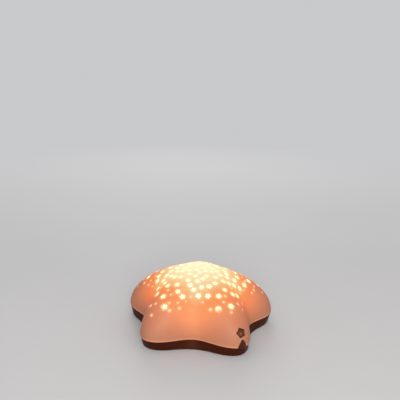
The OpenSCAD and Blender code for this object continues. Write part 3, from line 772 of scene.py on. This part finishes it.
    used = np.unique(tri)
    index = -np.ones(len(uv), int)
    index[used] = np.arange(len(used))
    uv, tri = uv[used], index[tri]
    n = len(uv)
    O, I = skin(uv[:, 0], uv[:, 1]), skin(uv[:, 0], uv[:, 1], True)
    NO, NI = smooth_normal(uv[:, 0], uv[:, 1]), -smooth_normal(uv[:, 0], uv[:, 1], True)
    verts = [O, I]
    faces = [tuple(t) for t in tri] + [(t[2] + n, t[1] + n, t[0] + n) for t in tri]
    normals = [NO[t] for t in tri] + [NI[t[::-1]] for t in tri]
    kinds = [0] * (2 * len(tri))
    count = 2 * n
    walls = []                                     # (first vertex, number, how dark) of every edge band

    def stitch(ids, true_uv, e, outer_border, ring_count=0):
        """Rounds the edge of a hole or of the border and joins the outside to the inside."""
        nonlocal count
        k = np.array([index[where[i]] for i in ids])
        o, i_ = O[k], I[k]
        tu, tv = true_uv
        to, ti = skin(tu, tv), skin(tu, tv, True)
        m2 = to + (ti - to) * (e / WALL)
        c = o + (i_ - o) * (e / WALL)
        m1 = c + (o - c) * math.cos(math.pi / 4) + (m2 - c) * math.sin(math.pi / 4)
        h = m2 - c
        h /= np.linalg.norm(h, axis=1, keepdims=True) + 1e-12
        nn = [NO[k], NO[k] * 0.7 + h * 0.7, h, h]
        if ring_count:                             # the rim itself: a flat foot between lip and inner wall
            g = slice(0, ring_count)
            a = np.arctan2(uv[k[g], 1], uv[k[g], 0])
            for arr, inset in ((m1, TUCK + 0.5), (m2, 1.7)):
                rr_ = outline(a) - inset
                arr[g] = np.stack([rr_ * np.cos(a), rr_ * np.sin(a) + CY, np.full(len(a), RIM_Z)], 1)
            for q in (0, 1, 2, 3):
                nn[q] = nn[q].copy()
                nn[q][g] = (0, 0, -1)
        nn[1] = nn[1] / (np.linalg.norm(nn[1], axis=1, keepdims=True) + 1e-12)
        a1 = np.arange(count, count + len(k))
        a2 = a1 + len(k)
        verts.extend([m1, m2])
        if outer_border:                           # only the notch's part of the border is dark
            walls.append((a1[0] + ring_count, len(k) - ring_count, 0.2))
            walls.append((a2[0] + ring_count, len(k) - ring_count, 1.0))
        elif len(k) > 90:
            walls.append((a1[0], len(k), 0.2))
            walls.append((a2[0], len(k), 1.0))
        count += 2 * len(k)
        rows = [k, a1, a2, k + n]
        L = len(k)
        for q in range(3):
            A, B = rows[q], rows[q + 1]
            for j in range(L):
                jj = (j + 1) % L
                if outer_border:
                    faces.append((A[jj], A[j], B[j], B[jj]))
                    normals.append(np.array([nn[q][jj], nn[q][j], nn[q + 1][j], nn[q + 1][jj]]))
                else:
                    faces.append((A[j], A[jj], B[jj], B[j]))
                    normals.append(np.array([nn[q][j], nn[q][jj], nn[q + 1][jj], nn[q + 1][j]]))
                kinds.append(1 if (not outer_border and L < 90) else 0)

    for ids, h in zip(hole_ids, holes):
        stitch(ids, h[1], h[4], False)
    true_border = (np.concatenate([ring_uv[:, 0], n_true[0]]), np.concatenate([ring_uv[:, 1], n_true[1]]))
    stitch(border_ids, true_border, edge, True, len(ring_uv))

    V = np.concatenate(verts)
    me = bpy.data.meshes.new("top_cover_shell")
    me.from_pydata((V * MM).tolist(), [], [tuple(int(x) for x in f) for f in faces])
    me.update()
    me.polygons.foreach_set("material_index", np.array(kinds, np.int32))
    me.shade_smooth()
    me.normals_split_custom_set([tuple(map(float, x)) for f in normals for x in f])

    # how much lamp light each place gets, and a painted halo of glow near the windows
    z = V[:, 2]
    valley = -np.cos(5 * (np.arctan2(V[:, 1] - CY, V[:, 0]) + np.pi / 2))
    sway = np.interp(z, [12, 20, 38, 50, 58, 66], [4, 9, 12, 8, 4.5, 0])
    level = np.clip((z + sway * valley - 12) / 58, 0, 1)
    painted_halo = np.zeros(len(V))
    shadow = np.zeros(len(V))
    for first, loop_len, is_dark in walls:
        shadow[first:first + loop_len] = is_dark
    # painted halo: a soft glow painted round every window and on the painted glow spots, standing in for the glare
    # round the bright windows
    for (kind, a, s, r), h in zip(windows, holes):
        d = np.linalg.norm(V - h[2], axis=1)
        painted_halo += 0.66 * np.exp(-((np.maximum(d - r * 0.6, 0)) / 1.7) ** 2)
    for p, r, strength, _u, _v in spots:
        painted_halo += strength * np.exp(-(np.linalg.norm(V - p, axis=1) / r) ** 2)
    painted_halo = np.clip(painted_halo, 0, 1) * (1 - shadow)
    # painted highlight along the lip: the lowest couple of millimetres above the rim get a paler emission
    rim = np.clip(1.35 - (V[:, 2] - RIM_Z) / 1.7, 0, 1)
    for name, data in (("level", level), ("painted_halo", painted_halo), ("rim", rim * (1 - shadow)), ("shadow", shadow)):
        at = me.attributes.new(name, "FLOAT", "POINT")
        at.data.foreach_set("value", data.astype(np.float32))
    return me, len(windows)


cover_data, window_total = cover_mesh()
cover = finish_mesh(cover_data, "top_cover_shell", "housing", [cover_look.m, edge_look.m])
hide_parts("top_cover")


# ------------------------------------------------------------------ the liner behind the windows
def liner_mesh():
    n, m = 160, 40
    top = math.radians(60.9)

    def ring(phi, t):
        a = np.arange(n) * 2 * np.pi / n
        s = math.sin(phi) ** (2 / DN)
        o = outline(a)
        r = s * (CORE_R - t + (o - CORE_R) * s ** BLEND)
        z = BULGE_Z + (DOME_H - t) * math.cos(phi) ** (2 * DM)
        return np.stack([r * np.cos(a), r * np.sin(a) + CY, np.full(n, z)], 1)

    rows = [ring(top * j / m, 4.15) for j in range(1, m + 1)] + [ring(top * j / m, 3.05) for j in range(m, 0, -1)]
    verts = [np.array([[0, CY, BULGE_Z + DOME_H - 4.15]])] + rows + [np.array([[0, CY, BULGE_Z + DOME_H - 3.05]])]
    V = np.concatenate(verts)
    faces = [(0, 1 + i, 1 + (i + 1) % n) for i in range(n)]
    for j in range(len(rows) - 1):
        for i in range(n):
            k = (i + 1) % n
            faces.append((1 + j * n + k, 1 + j * n + i, 1 + (j + 1) * n + i, 1 + (j + 1) * n + k))
    e = 1 + (len(rows) - 1) * n
    faces += [(len(V) - 1, e + i, e + (i + 1) % n) for i in range(n)]
    me = mesh_from("window_liner_dome", V, faces)
    d = np.linalg.norm(V - LAMP, axis=1)
    at = me.attributes.new("lamp", "FLOAT", "POINT")
    at.data.foreach_set("value", np.clip(1.25 - d / 62.0, 0, 1).astype(np.float32))
    bm = bmesh.new()
    bm.from_mesh(me)
    bmesh.ops.recalc_face_normals(bm, faces=bm.faces)
    bm.to_mesh(me)
    bm.free()
    return me


liner = finish_mesh(liner_mesh(), "window_liner_dome", "housing", [liner_look.m], angle=50)
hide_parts("window_liner")


# ------------------------------------------------------------------ the tray
def outline_ring(z, inset, n=540):
    a = np.arange(n) * 2 * np.pi / n
    r = outline(a) - inset
    return [(r[i] * math.cos(a[i]), r[i] * math.sin(a[i]) + CY, z) for i in range(n)]


def spline(points, x):
    """Monotone cubic through a few (x, y) points."""
    px, py = np.array(points, float).T
    h, d = np.diff(px), np.diff(py) / np.diff(px)
    m = np.zeros(len(px))
    m[0], m[-1] = d[0], d[-1]
    for i in range(1, len(px) - 1):
        if d[i - 1] * d[i] > 0:
            m[i] = 3 * (h[i - 1] + h[i]) / ((2 * h[i] + h[i - 1]) / d[i - 1] + (h[i] + 2 * h[i - 1]) / d[i])
    i = int(np.clip(np.searchsorted(px, x) - 1, 0, len(px) - 2))
    t = (x - px[i]) / h[i]
    return (2 * t ** 3 - 3 * t * t + 1) * py[i] + (t ** 3 - 2 * t * t + t) * h[i] * m[i] + (3 * t * t - 2 * t ** 3) * py[i + 1] + (t ** 3 - t * t) * h[i] * m[i + 1]


def valleys(f, r=POST_R):
    return [f(r * math.cos(math.radians(-54 + 72 * i)), r * math.sin(math.radians(-54 + 72 * i)) + CY) for i in range(5)]


def arms(f, r=FOOT_R):
    return [f(r * math.cos(math.radians(-90 + 72 * i)), r * math.sin(math.radians(-90 + 72 * i)) + CY) for i in range(5)]


def tongue_mesh():
    nu, nf = 34, 30

    def x_half(f):
        return TONGUE_HALF * math.cos(f) ** 1.1

    def z_of(f):
        return RIM_Z + (TONGUE_TOP - RIM_Z) * math.sin(f) ** 2

    def wall(x, z, half, back):
        if z <= BULGE_Z:
            s = 1.0
        else:
            s = (1 - ((z - BULGE_Z) / DOME_H) ** (1 / DM)) ** (1 / DN)
        a = -math.pi / 2
        for _ in range(10):
            r = s * (CORE_R + (float(outline(np.array([a]))[0]) - CORE_R) * s ** BLEND)
            a = -math.pi / 2 + math.asin(max(-1, min(1, x / r)))
        if back:
            inset = 4.2
        else:
            t = max(0.0, min(1.0, (z - 8.6) / 2.6))
            inset = 1.5 + (0.3 - 1.5) * t * t * (3 - 2 * t)
            # its edges roll off towards the gap
            side = max(0.0, 1 - (half - abs(x)) / 0.8)
            top = max(0.0, 1 - (TONGUE_TOP - z) / 1.0)
            inset += 0.55 * t * (1 - math.sqrt(max(0.0, 1 - min(1.0, side * side + top * top))))
        r -= inset
        return (r * math.cos(a), r * math.sin(a) + CY, z)

    levels = [(TONGUE_HALF, z) for z in (6.0, 7.0, 8.0, 8.8, 9.4, 10.0, 10.5, 11.0)] + [(x_half(math.radians(f)), z_of(math.radians(f))) for f in np.linspace(10, 88.5, nf)]
    grid = {}
    verts, faces = [], []
    for back in (0, 1):
        for j, (h, z) in enumerate(levels):
            for i in range(nu + 1):
                x = h * (2 * i / nu - 1)
                grid[back, j, i] = len(verts)
                p = wall(x, z, h, back)
                verts.append((x, p[1], z))
    J = len(levels)
    for j in range(J - 1):
        for i in range(nu):
            faces.append((grid[0, j, i], grid[0, j, i + 1], grid[0, j + 1, i + 1], grid[0, j + 1, i]))
            faces.append((grid[1, j, i + 1], grid[1, j, i], grid[1, j + 1, i], grid[1, j + 1, i + 1]))
        faces.append((grid[1, j, 0], grid[0, j, 0], grid[0, j + 1, 0], grid[1, j + 1, 0]))
        faces.append((grid[0, j, nu], grid[1, j, nu], grid[1, j + 1, nu], grid[0, j + 1, nu]))
    for i in range(nu):
        faces.append((grid[0, 0, i + 1], grid[0, 0, i], grid[1, 0, i], grid[1, 0, i + 1]))
        faces.append((grid[0, J - 1, i], grid[0, J - 1, i + 1], grid[1, J - 1, i + 1], grid[1, J - 1, i]))
    return mesh_from("tongue", verts, faces)


def build_tray():
    top = RIM_Z - 0.4
    shares = [(SKIRT_Z, 1.0), (1.4, 0.96), (3.4, 0.78), (6.6, 0.42), (top, 0.0)]

    def skirt(z, more):
        a = np.arange(540) * 2 * np.pi / 540
        r = outline(a) - TRAY_INSET - float(spline(shares, z)) * (SKIRT_INSET - TRAY_INSET + SKIRT_SWING * np.cos(5 * (a + np.pi / 2))) - more
        return [(r[i] * math.cos(a[i]), r[i] * math.sin(a[i]) + CY, z) for i in range(540)]

    rings = [skirt(SKIRT_Z + 0.9 * (1 - math.cos(f)), 0.9 * (1 - math.sin(f))) for f in np.radians([0, 15, 30, 45, 60, 75, 90])]
    rings += [skirt(z, 0) for z in (2.0, 2.8, 3.8, 4.9, 6.1, 7.4, 8.8, 10.0)]
    rings += [skirt(top - 0.25, 0.02), skirt(top - 0.07, 0.12), skirt(top, 0.32)]
    ob = loose(rings_mesh("tray", rings), "tray")
    # cavity and the locating rim that stands inside the cover
    combine(ob, [rings_mesh("cavity", [outline_ring(z, 4.3, 360) for z in (FLOOR_Z, 20)]),
                 rings_mesh("recess", [outline_ring(z, 6.8, 360) for z in (-1, TRAY_Z)])], "DIFFERENCE")
    rim = loose(rings_mesh("rim", [outline_ring(z, i, 360) for z, i in ((FLOOR_Z - 0.4, 3.1), (13.2, 3.1), (13.6, 3.4))]), "rim")
    combine(rim, [rings_mesh("in", [outline_ring(z, 4.3, 360) for z in (1.0, 20)])], "DIFFERENCE")
    rim_me = rim.data.copy()
    bpy.data.objects.remove(rim)
    dy = CY
    adds = [rim_me, tongue_mesh(),
            block(-30, 30, -38 + dy, 41 + dy, TRAY_Z + 0.6, PAD_Z),
            block(-BOX_W / 2 - BOX_WALL, BOX_W / 2 + BOX_WALL, -BOX_L / 2 - BOX_WALL + dy, BOX_L / 2 + BOX_WALL + dy, FLOOR_Z, BOX_TOP + BOX_WALL),
            drum(0, SCREW_Y + dy, FLOOR_Z, FLOOR_Z + 7.2, 4.3)]
    adds += valleys(lambda x, y: drum(x, y, FLOOR_Z - 0.5, 9, 4.4))
    adds += [drum(x, y + dy, FLOOR_Z - 0.5, FLOOR_Z + 3.8, 2.6, 32) for x in (-16, 16) for y in (-56, -41)]
    adds += [drum(x, -66 + dy, FLOOR_Z - 0.5, FLOOR_Z + 0.8, 2.6, 32) for x in (-5.4, 5.4)]
    for i in range(1, 5):
        rib = block(24, 57, -0.8, 0.8, FLOOR_Z - 0.5, FLOOR_Z + 3)
        rib.transform(Matrix.Rotation(math.radians(-90 + 72 * i), 4, "Z"))
        adds.append(shift(rib, 0, dy))
    combine(ob, adds, "UNION")
    cuts = [block(-BOX_W / 2, BOX_W / 2, -BOX_L / 2 + dy, BOX_L / 2 + dy, 3, BOX_TOP),
            round_block(-DOOR_W / 2 - 0.4, DOOR_W / 2 + 0.4, -DOOR_L / 2 - 0.8 + dy, DOOR_L / 2 + 0.4 + dy, -1, TRAY_Z + DOOR_T + 0.1, 2.0),
            block(-7.4, 7.4, DOOR_L / 2 - 1 + dy, SCREW_Y + dy, -1, 4.1),
            drum(0, SCREW_Y + dy, -1, 4.1, 7.4),
            drum(0, SCREW_Y + dy, 3, 12, 2.4)]
    for x in (-14, 14):
        cuts.append(block(x - 4.4, x + 4.4, HINGE_Y - 0.5 + dy, HINGE_Y + 3.5 + dy, -1, 6))
        cuts.append(block(x - 4.4, x + 4.4, HINGE_Y - 3 + dy, HINGE_Y + dy, 1.85, 5.85))
    for x in (-15, 15):
        cuts.append(block(x - 2.2, x + 2.2, -BOX_L / 2 - 3 + dy, -BOX_L / 2 + 1 + dy, 8, 14))
    cuts += valleys(lambda x, y: drum(x, y, -1, 5, 3.2)) + valleys(lambda x, y: drum(x, y, 0, 12, 1.7, 32))
    cuts += [drum(x, y + dy, 2.2, 8.2, 0.95, 24) for x in (-16, 16) for y in (-56, -41)]
    cuts += [drum(x, -66 + dy, 2.6, 8.6, 0.95, 24) for x in (-5.4, 5.4)]
    cuts += arms(lambda x, y: drum(x, y, -1, 2, 6.2, 64))
    combine(ob, cuts, "DIFFERENCE")
    rounded(ob, 0.22, 2, 38)
    return ob


tray = settle(build_tray(), "base_tray_moulding", "housing", [base_look.m, tongue_look.m])
for f in tray.data.polygons:
    c = f.center / MM
    f.material_index = int(c.z > RIM_Z - 0.6 and c.y < CY - 74 and abs(c.x) < TONGUE_HALF + 0.1)
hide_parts("base_tray")


# ------------------------------------------------------------------ the star button
def button_frame():
    ex, ey, ez = Vector((1, 0, 0)), Vector((0, math.cos(TILT), math.sin(TILT))), Vector((0, -math.sin(TILT), math.cos(TILT)))
    m = Matrix((ex, ey, ez)).transposed().to_4x4()
    m.translation = Vector((0, CY - BUTTON_Y, BUTTON_Z)) * MM
    return m


def build_button():
    n = 180

    def star(k, d=0.0):
        out = []
        for i in range(n):
            f = 2 * math.pi * i / n
            r = (BUTTON_R + POINTS * math.cos(5 * (f - math.pi / 2 - BUTTON_TURN)) - d) * k
            out.append((r * math.cos(f), r * math.sin(f)))
        return out

    def top(r):
        return -15.4 + math.sqrt(256 - r * r)

    rings = []
    for z in (-5.0, -4.0, -2.6, -1.4):
        rings.append([(x, y, z) for x, y in star(1)])
    fil = 0.7
    for q in range(1, 8):
        f = math.radians(90 * q / 7)
        d = fil * (1 - math.cos(f))
        rings.append([(x, y, top(math.hypot(x, y)) - fil * (1 - math.sin(f))) for x, y in star(1, d)])
    for k in (0.93, 0.85, 0.76, 0.66, 0.55, 0.44, 0.33, 0.22, 0.11):
        rings.append([(x, y, top(math.hypot(x, y))) for x, y in star(k, fil)])
    # a round, slightly raised dome in the middle of the cap
    shaped = []
    for ring in rings:
        new = []
        for x, y, z in ring:
            r = math.hypot(x, y)
            t = max(0.0, min(1.0, (3.0 - r) / 0.9))
            new.append((x, y, z + (0.16 * t * t * (3 - 2 * t) if z > -1.2 else 0)))
        shaped.append(new)
    ob = loose(rings_mesh("cap", shaped), "cap")
    prof = [(0, -4.2)]
    for r in np.linspace(0.8, 6.75, 9):
        prof.append((float(r), -16 + math.sqrt(139.24 - r * r)))
    prof += [(6.9, -6.28), (6.9, -5.1)]
    for r in np.linspace(6.75, 0.8, 9):
        prof.append((float(r), -16 + math.sqrt(169 - r * r)))
    prof.append((0, -3.0))
    flange = lathe("flange", prof, 96)
    stem = lathe("stem", [(0, -12.5), (1.5, -12.5), (1.8, -12.2), (1.8, -4.0), (0, -4.0)], 48)
    combine(ob, [flange, stem], "UNION")
    # painted shade mask: 1 on the cap's face, 0 on its sides, fillet and flange, which the material paints near-black
    unshaded_face = ob.data.attributes.new("unshaded_face", "FLOAT", "POINT")
    share = []
    for v in ob.data.vertices:
        x, y, z = v.co.x / MM, v.co.y / MM, v.co.z / MM
        f = math.atan2(y, x)
        edge = BUTTON_R + POINTS * math.cos(5 * (f - math.pi / 2 - BUTTON_TURN)) - math.hypot(x, y)
        share.append(max(0.0, min(1.0, (edge - 0.15) / 0.65)) if z > -1.6 else 0.0)
    unshaded_face.data.foreach_set("value", np.array(share, np.float32))
    # painted glow patch below and beside the cap's middle
    painted_cap_glow = ob.data.attributes.new("painted_cap_glow", "FLOAT", "POINT")
    painted_cap_glow.data.foreach_set("value", np.array([math.exp(-((v.co.x / MM + 0.8) ** 2 + (v.co.y / MM + 0.9) ** 2) / 2.9) * (v.co.z / MM > -1.6) for v in ob.data.vertices], np.float32))
    ob.data.transform(button_frame())
    return ob


button = settle(build_button(), "star_button_cap", "button", [button_look.m], 40)
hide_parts("star_button")


# ------------------------------------------------------------------ door, feet, screws, cells, springs
def build_door():
    dy = CY
    ob = loose(round_block(-DOOR_W / 2, DOOR_W / 2, -DOOR_L / 2 + dy, DOOR_L / 2 + dy, TRAY_Z, TRAY_Z + DOOR_T, 1.6), "door")
    adds = [block(-7, 7, DOOR_L / 2 - 3.2 + dy, SCREW_Y + dy, TRAY_Z, TRAY_Z + 1.8),
            block(-7, 7, DOOR_L / 2 + 0.1 + dy, SCREW_Y + dy, TRAY_Z, TRAY_Z + 2.6),
            drum(0, SCREW_Y + dy, TRAY_Z, TRAY_Z + 2.6, 7, 72)]
    for x in (-14, 14):
        adds.append(block(x - 4, x + 4, HINGE_Y - 2.1 + dy, HINGE_Y + 3.4 + dy, HINGE_Z - 0.5, HINGE_Z + 0.5))
        bead = drum(0, 0, -4, 4, 0.75, 32)
        bead.transform(Matrix.Rotation(math.radians(90), 4, "Y"))
        adds.append(shift(bead, x, HINGE_Y + dy, HINGE_Z))
    for y in (-16, 16):
        adds.append(block(-20, 20, y + dy, y + 1.2 + dy, TRAY_Z + DOOR_T - 0.2, TRAY_Z + DOOR_T + 0.7))
    combine(ob, adds, "UNION")
    cuts = [drum(0, SCREW_Y + dy, 0, 6, 1.5, 32), drum(0, SCREW_Y + dy, 0, TRAY_Z + 1.5, 3, 48)]
    for i in range(5):
        cuts.append(round_block(-9, 9, 15 + 2.4 * i + dy, 16.1 + 2.4 * i + dy, TRAY_Z - 1, TRAY_Z + 0.4, 0.54, 4))
    combine(ob, cuts, "DIFFERENCE")
    rounded(ob, 0.18, 2, 38)
    return ob


door = settle(build_door(), "battery_door_panel", "door", [base_look.m])
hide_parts("battery_door")


def joined(name, meshes, body, materials, angle=40):
    bm = bmesh.new()
    for me in meshes:
        bm.from_mesh(me)
    me = bpy.data.meshes.new(name)
    bm.to_mesh(me)
    bm.free()
    return finish_mesh(me, name, body, materials, angle)


foot_prof = [(0, 0.0), (2.2, 0.0), (4.2, 0.0), (5.0, 0.03), (5.45, 0.14), (5.78, 0.36), (5.95, 0.62), (6.0, 0.9), (6.0, 1.9), (5.9, 2.0), (0, 2.0)]
feet = joined("foot_pad_set", arms(lambda x, y: lathe("foot", foot_prof, 72, (x, y, 0))), "housing", [rubber_look.m])
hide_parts("foot_pads")


def cross_screw(x, y, z, r, h, shank_r, shank_l, up=1):
    """Pan-head screw with a cross recess: head from z, shank towards up."""
    prof = [(0, 0), (r * 0.55, 0.0), (r * 0.85, h * 0.10), (r * 0.97, h * 0.32), (r, h * 0.6), (r, h), (shank_r, h)]
    pitch = 0.5
    k = int((shank_l - 0.6) / pitch)
    for i in range(k):
        prof += [(shank_r, h + pitch * i + 0.12), (shank_r * 0.84, h + pitch * i + 0.27), (shank_r, h + pitch * i + 0.44)]
    prof += [(shank_r * 0.8, h + shank_l - 0.25), (shank_r * 0.4, h + shank_l), (0, h + shank_l)]
    ob = loose(lathe("screw", prof, 40), "screw")
    combine(ob, [block(-r * 0.62, r * 0.62, -0.3, 0.3, -1, h * 0.5), block(-0.3, 0.3, -r * 0.62, r * 0.62, -1, h * 0.5)], "DIFFERENCE")
    me = ob.data.copy()
    bpy.data.objects.remove(ob)
    if up < 0:
        me.transform(Matrix.Rotation(math.pi, 4, "X"))
    return shift(me, x, y, z)


case = joined("case_screw_set", valleys(lambda x, y: cross_screw(x, y, 3.1, 2.7, 1.9, 1.25, 12)), "housing", [steel_look.m], 30)
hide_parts("case_screws")
dscrew = joined("door_screw_pan", [cross_screw(0, CY + SCREW_Y, TRAY_Z + 0.15, 2.7, 1.3, 1.2, 4.4)], "captive_screw", [steel_look.m], 30)
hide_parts("door_screw")


def cell_mesh(x, direction):
    """AA cell standing on its negative end, then laid along Y."""
    r, l = CELL_R, CELL_L
    prof = [(0, 0.25), (3.6, 0.25), (4.4, 0.0), (5.9, 0.0), (6.7, 0.14), (7.0, 0.45), (r, 0.9), (r, 12.0), (r, 24.0), (r, 36.0), (r, l - 2.6),
            (7.0, l - 2.05), (6.6, l - 1.75), (6.1, l - 1.62), (5.6, l - 1.75), (5.0, l - 1.55), (3.4, l - 1.45), (2.85, l - 1.4),
            (2.75, l - 1.2), (2.75, l - 0.35), (2.55, l - 0.08), (2.2, l), (0, l)]
    me = lathe("cell", prof, 72)
    z = np.array([v.co.z for v in me.vertices]) / MM / l
    at = me.attributes.new("along", "FLOAT", "POINT")
    at.data.foreach_set("value", z.astype(np.float32))
    me.transform(Matrix.Rotation(math.radians(-90 if direction > 0 else 90), 4, "X"))
    y = CY - BOX_L / 2 + 6 if direction > 0 else CY + BOX_L / 2 - 6
    return shift(me, x, y, CELL_Z)


for i, (x, d) in enumerate(((-PITCH, 1), (0.0, -1), (PITCH, 1)), 1):
    me = cell_mesh(x, d)
    ob = finish_mesh(me, f"battery_{i}_cell", "housing", [cell_look.m, nickel_look.m], 30)
    zz = np.zeros(len(me.vertices), np.float32)
    me.attributes["along"].data.foreach_get("value", zz)
    for poly in me.polygons:
        m = np.mean([zz[v] for v in poly.vertices])
        poly.material_index = 1 if m > 0.964 or m < 0.006 else 0
    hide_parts(f"battery_{i}")


def tube_mesh(path, r, sides=12):
    path = np.array(path, float)
    t = np.gradient(path, axis=0)
    t /= np.linalg.norm(t, axis=1, keepdims=True)
    up = np.array([0, 0, 1.0]) if abs(t[0][2]) < 0.9 else np.array([1.0, 0, 0])
    rings = []
    u = np.cross(t[0], up)
    u /= np.linalg.norm(u)
    for k in range(len(path)):
        u = u - (u @ t[k]) * t[k]
        u /= np.linalg.norm(u)
        w = np.cross(t[k], u)
        rings.append([tuple(path[k] + r * (math.cos(2 * math.pi * i / sides) * u + math.sin(2 * math.pi * i / sides) * w)) for i in range(sides)])
    return rings_mesh("tube", rings)


def spring_mesh(x, y, direction):
    pts = []
    k, turns = 28, 4
    for i in range(k * turns + 1):
        f = i / (k * turns)
        r = 4.6 - 1.8 * f
        a = 2 * math.pi * i / k
        pts.append((r * math.cos(a), r * math.sin(a), 0.45 + 4.4 * f))
    me = tube_mesh(pts, 0.36)
    me.transform(Matrix.Rotation(math.radians(-90 if direction > 0 else 90), 4, "X"))
    return shift(me, x, y, CELL_Z)


springs = joined("contact_spring_set", [spring_mesh(-PITCH, CY - BOX_L / 2 + 0.46, 1), spring_mesh(PITCH, CY - BOX_L / 2 + 0.46, 1),
                                        spring_mesh(0, CY + BOX_L / 2 - 0.46, -1)], "housing", [steel_look.m], 60)
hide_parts("contact_springs")

# ------------------------------------------------------------------ finishes of the CAD nodes that stay
LOOKS = {
    "button_carrier": light_look, "carrier_screws": steel_look, "switch_board": green_look, "tact_switch": black_look,
    "switch_plunger": plunger_look, "main_board": green_look, "board_screws": steel_look, "control_chip": chip_look,
    "capacitors": can_look, "resistors": chip_look, "lamp_column": light_look, "column_screws": steel_look,
    "lamp_board": white_look, "lamp_leds": led_look, "lamp_lens": lens_look, "contact_plates": nickel_look,
    "door_insert": brass_look, "lamp_lead": red_wire_look, "switch_lead": black_wire_look, "battery_lead": black_wire_look,
}
for name, look in LOOKS.items():
    ob = NODES[name]
    if not ob.data.materials:
        ob.data.materials.append(look.m)
    for slot in ob.material_slots:
        slot.link = "OBJECT"
        slot.material = look.m


# ------------------------------------------------------------------ floor, light, camera
PALE, PALE_LIGHT = (0.97, 0.975, 1.0), 0.60


def build_stage():
    floor_look = Look("pale_floor")
    floor_look.to(floor_look.ramp(floor_look.noise(3.0, 3, 0.5), [(0.3, (0.53, 0.525, 0.525)), (0.7, (0.55, 0.545, 0.545))]), "Base Color")
    floor_look.set(Roughness=0.8, Specular_IOR_Level=0.1)
    # far from the object the floor runs into the backdrop's own brightness, so no horizon shows
    far = floor_look.t.nodes.new("ShaderNodeEmission")
    far.inputs["Color"].default_value = (*PALE, 1)
    far.inputs["Strength"].default_value = PALE_LIGHT
    dist = floor_look.t.nodes.new("ShaderNodeVectorMath")
    dist.operation = "LENGTH"
    floor_look.link(floor_look.tc.outputs["Object"], dist.inputs[0])
    blend = floor_look.t.nodes.new("ShaderNodeMixShader")
    floor_look.link(floor_look.span(dist.outputs["Value"], 0.3, 1.3, 0.0, 1.0), blend.inputs[0])
    floor_look.link(floor_look.b.outputs["BSDF"], blend.inputs[1])
    floor_look.link(far.outputs["Emission"], blend.inputs[2])
    floor_look.link(blend.outputs["Shader"], floor_look.out.inputs["Surface"])
    me = bpy.data.meshes.new("floor")
    s = 30.0
    me.from_pydata([(-s, -s, 0), (s, -s, 0), (s, s, 0), (-s, s, 0)], [], [(0, 1, 2, 3)])
    floor = bpy.data.objects.new("floor", me)
    SCENE.collection.objects.link(floor)
    me.materials.append(floor_look.m)

    world = bpy.data.worlds.new("studio")
    SCENE.world = world
    world.use_nodes = True
    bg = world.node_tree.nodes["Background"]
    bg.inputs[0].default_value = (*PALE, 1)
    bg.inputs[1].default_value = PALE_LIGHT

    def area(name, at, to, size, power, colour):
        light = bpy.data.lights.new(name, "AREA")
        light.shape = "DISK"
        light.size = size
        light.energy = power
        light.color = colour
        ob = bpy.data.objects.new(name, light)
        SCENE.collection.objects.link(ob)
        ob.location = at
        ob.rotation_mode = "QUATERNION"
        ob.rotation_quaternion = (Vector(to) - Vector(at)).to_track_quat("-Z", "Y")

    area("key", (-0.72, -1.28, 0.60), (0, 0, 0.03), 0.9, 23.0, (1.0, 0.98, 0.95))
    area("back", (0.72, 1.28, 0.72), (0, 0, 0.03), 0.9, 8.5, (1.0, 0.98, 0.96))
    area("spark", (0.34, -1.25, 0.32), (0, -0.07, 0.03), 0.14, 0.7, (1.0, 0.80, 0.55))


build_stage()

cam_data = bpy.data.cameras.new("camera")
cam = bpy.data.objects.new("camera", cam_data)
SCENE.collection.objects.link(cam)
cam_data.sensor_width = 36
cam_data.sensor_fit = "HORIZONTAL"
cam_data.lens = 587.3 * 36 / 400
cam_data.shift_x = (200 - 148.7) / 400
cam_data.shift_y = (215 - 200) / 400
cam_data.clip_start = 0.01
cam_data.clip_end = 50
cam.location = (-0.33253, -0.52486 + CY * MM, 0.30741)
_h, _p = math.radians(62.91), math.radians(-15.95)
_dir = Vector((math.cos(_h) * math.cos(_p), math.sin(_h) * math.cos(_p), math.sin(_p)))
cam.rotation_mode = "QUATERNION"
cam.rotation_quaternion = _dir.to_track_quat("-Z", "Y")
SCENE.camera = cam
SCENE.view_settings.view_transform = "Standard"
SCENE.view_settings.look = "None"
